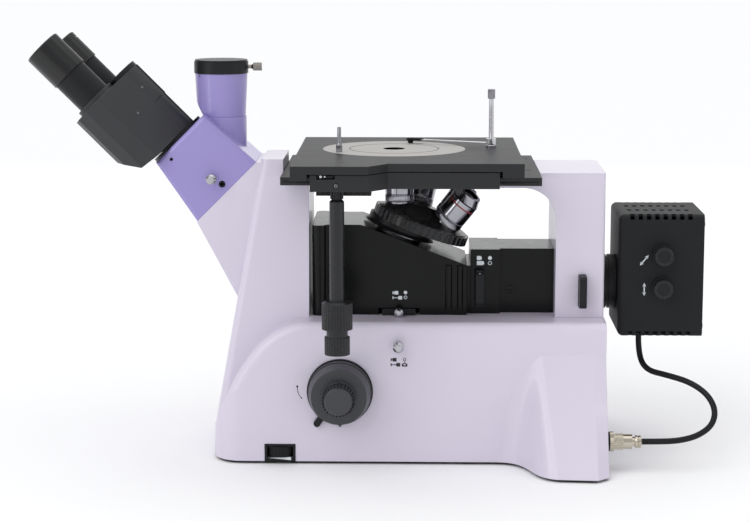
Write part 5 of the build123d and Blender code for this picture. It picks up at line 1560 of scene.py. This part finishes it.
@dataclass
class Head:
    """Violet head with the photo port, and the binocular on its 45 degree face.

    Attributes:
        origin: Place of the head's axis: x and height.
        side: Y of the head block's near side.
        pupil_drop: How far the eyepieces' axis lies below the head's axis.
        pupil_half: Half the distance between the eyepieces.
        turn: Turn of the binocular on the head in degrees.
        lens_at: Distance along the head's axis of the near and the far eyepiece's front lens.
        lens_radius: Radius of that lens.
        screw_hole: Place of the block's small screw: along and up.
        plug_hole: Place of its black plug.
        plug_depth: Depth of the bore that each of them sits in.
        arm_screw_seats: Screws of an arm: along, up, y and the slope of the face in radians.
        tube_screw_way: Direction in which the photo tube's screw faces: x and y.
        tube_screw_drop: How far it lies below the tube's top.
        tube_screw_sink: How far it is sunk into the tube.
    """

    origin: Point2 = (-0.231, 0.330)
    side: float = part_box("head_block")[0].y
    pupil_drop: float = -0.0250
    pupil_half: float = 0.032
    turn: float = -3.0
    lens_at: Point2 = (0.1606, 0.1551)
    lens_radius: float = 0.0118
    screw_hole: Point2 = (-0.0115, -0.013)
    plug_hole: Point2 = (-0.0672, 0.006)
    plug_depth: float = 0.0026
    arm_screw_seats: tuple[tuple[float, float, float, float], ...] = (
        (0.0632, 0.0169, 0.0200, 0.70), (0.0467, -0.0011, 0.0417, 0.888))
    tube_screw_way: Point2 = (-0.753, -0.658)
    tube_screw_drop: float = 0.0019
    tube_screw_sink: float = 0.0006

    def point(self, along: float, up: float, y: float) -> Vector:
        """Return a point of the head.

        Args:
            along: Distance along the head's axis, towards the eyepieces.
            up: Distance square to it, upwards.
            y: Place across the head.

        Returns:
            The point in the model's frame.
        """
        (x, z), slope = self.origin, math.sqrt(0.5)
        return spot(x + (up - along) * slope, y, z + (up + along) * slope)

    def turned(self, along: float, up: float, y: float) -> Vector:
        """Return a point of the binocular, which is turned on the head; the arguments are those of point."""
        cos, sin = math.cos(math.radians(self.turn)), math.sin(math.radians(self.turn))
        return self.point(along, up * cos - y * sin, up * sin + y * cos)

    def lenses(self) -> None:
        """Set the bulged front lens of each eyepiece with its retaining ring."""
        axis = self.point(1, 0, 0) - self.point(0, 0, 0)
        for (hand, end), at in zip(EYES, self.lens_at):
            place = plane(self.turned(at, self.pupil_drop, hand * self.pupil_half), Vector((0, 1, 0)), axis)
            shaper = Shaper(f"eye_lens_{end}", LENS, SATIN_BLACK)
            r, bulge = self.lens_radius, 0.0022
            dome = [(r * math.cos(a), bulge * math.sin(a)) for a in (0, 0.25, 0.5, 0.8, 1.1, 1.35)]
            shaper.lathe(place, [*dome, (0, bulge)], 48, 0)
            shaper.lathe(place, [(r + 0.0002, -0.0004), (r + 0.0010, 0.0006), (r + 0.0004, 0.0011),
                                 (r - 0.0008, 0.0008)], 48, 1)
            shaper.piece(f"eye_{end}")

    def block_fittings(self) -> None:
        """Set the black plug and the small screw in the head block's near side, with painted shade in their
        sunk hexagons.
        """
        shaper = Shaper("head_block_plugs", SATIN_BLACK, SHADOW)
        rim, key = self.plug_depth, 0.0012
        for (along, up), r in ((self.screw_hole, 0.0017), (self.plug_hole, 0.0035)):
            face = plane(self.point(along, up, self.side + rim), Vector((1, 0, 0)), Vector((0, -1, 0)))
            shaper.lathe(face, [(r, 0.0), (r, rim - 0.0004), (r * 0.8, rim), (r * 0.5, rim)], 28)
            # painted shade inside the sunk hexagon
            shaper.lathe(face, [(r * 0.5, rim), (r * 0.45, key), (0, key)], 6, 1)
        shaper.piece("stand")

    def arm_screws(self) -> None:
        """Set the small screws in the flank of each binocular arm."""
        for hand, end in EYES:
            # the screws' sunk hexagons get painted shade
            shaper = Shaper(f"arm_screws_{end}", STEEL, SHADOW)
            for along, up, y, slope in self.arm_screw_seats:
                seat = self.turned(along, up, hand * y)
                out = self.turned(along, up + math.sin(slope), hand * (y + math.cos(slope))) - seat
                screw_head(shaper, plane(seat, Vector((1, 0, 1)), out), 0.0012, 0.0004)
            shaper.piece(f"arm_{end}")

    def tube_screw(self) -> None:
        """Set the tiny screw near the top of the photo tube."""
        low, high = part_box("photo_tube")
        out = Vector((*self.tube_screw_way, 0)).normalized()
        reach = out * ((high.x - low.x) / 2 - self.tube_screw_sink)
        seat = spot(middle("photo_tube").x + reach.x, reach.y, high.z - self.tube_screw_drop)
        # the screw's sunk hexagon gets painted shade
        shaper = Shaper("photo_tube_screw", STEEL, SHADOW)
        screw_head(shaper, plane(seat, Vector((0, 0, 1)), out), 0.0014, 0.0008)
        shaper.piece("stand")

    def dress(self) -> None:
        """Finish the head's nodes."""
        dress(VIOLET, "head_block", "photo_tube")
        dress(SATIN_BLACK, "photo_ring", "dust_cap", "binocular_mount", "diopter_near", "diopter_far")
        dress(TURNED_X, "photo_screw")
        dress(TURNED_Y, "head_rod")
        dress(BINOCULAR, "binocular_arm_near", "binocular_arm_far")
        dress(LACQUER, "eyepiece_near", "eyepiece_far")

    def build(self) -> None:
        """Make the head's details and dress its nodes."""
        self.lenses()
        self.block_fittings()
        self.arm_screws()
        self.tube_screw()
        self.dress()


@dataclass
class LampHouse:
    """Lamp house on its collar, with its centring knobs and plug.

    Attributes:
        side: Y of its near face.
        rear: X of its rear cover's face.
        slant_tips: Tips of the slanting arrow.
        upright_tips: Tips of the upright arrow.
        arrow_width: Width of an arrow's shaft.
        arrow_barb: Length of an arrow's head.
        ribs: Ribs on the face of a centring knob.
        rib_inner: Radius where they start.
        rib_length: Their length.
        rib_half: Half their width.
        rib_height: How far they stand out.
        screw_y: Distance of the rear cover's screws from its middle.
        screw_heights: Their heights.
    """

    side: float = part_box("lamp_house")[0].y
    rear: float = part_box("lamp_house_cover")[1].x - MID_X
    slant_tips: tuple[Point2, Point2] = ((0.2574, 0.2033), (0.2664, 0.2143))
    upright_tips: tuple[Point2, Point2] = ((0.2625, 0.1711), (0.2625, 0.1849))
    arrow_width: float = 0.0013
    arrow_barb: float = 0.0038
    ribs: int = 26
    rib_inner: float = 0.0068
    rib_length: float = 0.0032
    rib_half: float = 0.0003
    rib_height: float = 0.0005
    screw_y: float = 0.043
    screw_heights: Point2 = (0.138, 0.246)

    def signs(self) -> None:
        """Print the two arrows beside the centring knobs."""
        shaper = Shaper("lamp_centring_signs", WHITE_PRINT)
        face = near_face(0, self.side, 0)
        for tips in (self.slant_tips, self.upright_tips):
            draw_arrow(shaper, face, *tips, self.arrow_width, self.arrow_barb)
        shaper.piece("stand")

    def knob_ribs(self) -> None:
        """Set the ring of fine ribs on the face of each centring knob."""
        for node, body in (("lamp_knob_upper", "lamp_knob_top"), ("lamp_knob_lower", "lamp_knob_low")):
            x, _, z = middle(node)
            centre = spot(x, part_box(node)[0].y, z)
            shaper = Shaper(node + "_ribs", KNOB)
            for index in range(self.ribs):
                angle = FULL_TURN * index / self.ribs
                out = Vector((math.cos(angle), 0, math.sin(angle)))
                face = plane(centre + out * self.rib_inner, out, Vector((0, -1, 0)))
                outline = rectangle(0, -self.rib_half, self.rib_length, self.rib_half)
                shaper.prism(face, outline, self.rib_height, bevel=0.0001)
            shaper.piece(body)

    def screws(self) -> None:
        """Set the screws of the rear cover."""
        # the screws' sunk hexagons get painted shade
        shaper = Shaper("lamp_cover_screws", STEEL, SHADOW)
        for z in self.screw_heights:
            for y in (-self.screw_y, self.screw_y):
                screw_head(shaper, rear_face(self.rear, y, z), 0.0029, 0.0014)
        shaper.piece("stand")

    def dress(self) -> None:
        """Finish the lamp house's nodes."""
        dress(LAMP_BLACK, "lamp_house", "lamp_house_cover")
        dress(SATIN_BLACK, "lamp_collar")
        dress(PLASTIC, "lamp_knob_upper", "lamp_knob_lower")
        dress(LENS, "halogen_lamp")
        dress(NICKEL, "lamp_plug")

    def build(self) -> None:
        """Make the lamp house's details and dress its nodes."""
        self.signs()
        self.knob_ribs()
        self.screws()
        self.dress()


def main() -> None:
    """Build the studio, the cable and each sub-assembly."""
    logging.basicConfig(level=logging.INFO, format="%(name)s: %(message)s")
    parts = (Studio(), LampCable(), Stand(), FocusDrive(), Housings(), Nosepiece(), Stage(), Head(),
             LampHouse())
    for part in parts:
        log.info("building %s", type(part).__name__)
        part.build()
    bpy.context.view_layer.update()


if __name__ == "__main__":
    main()
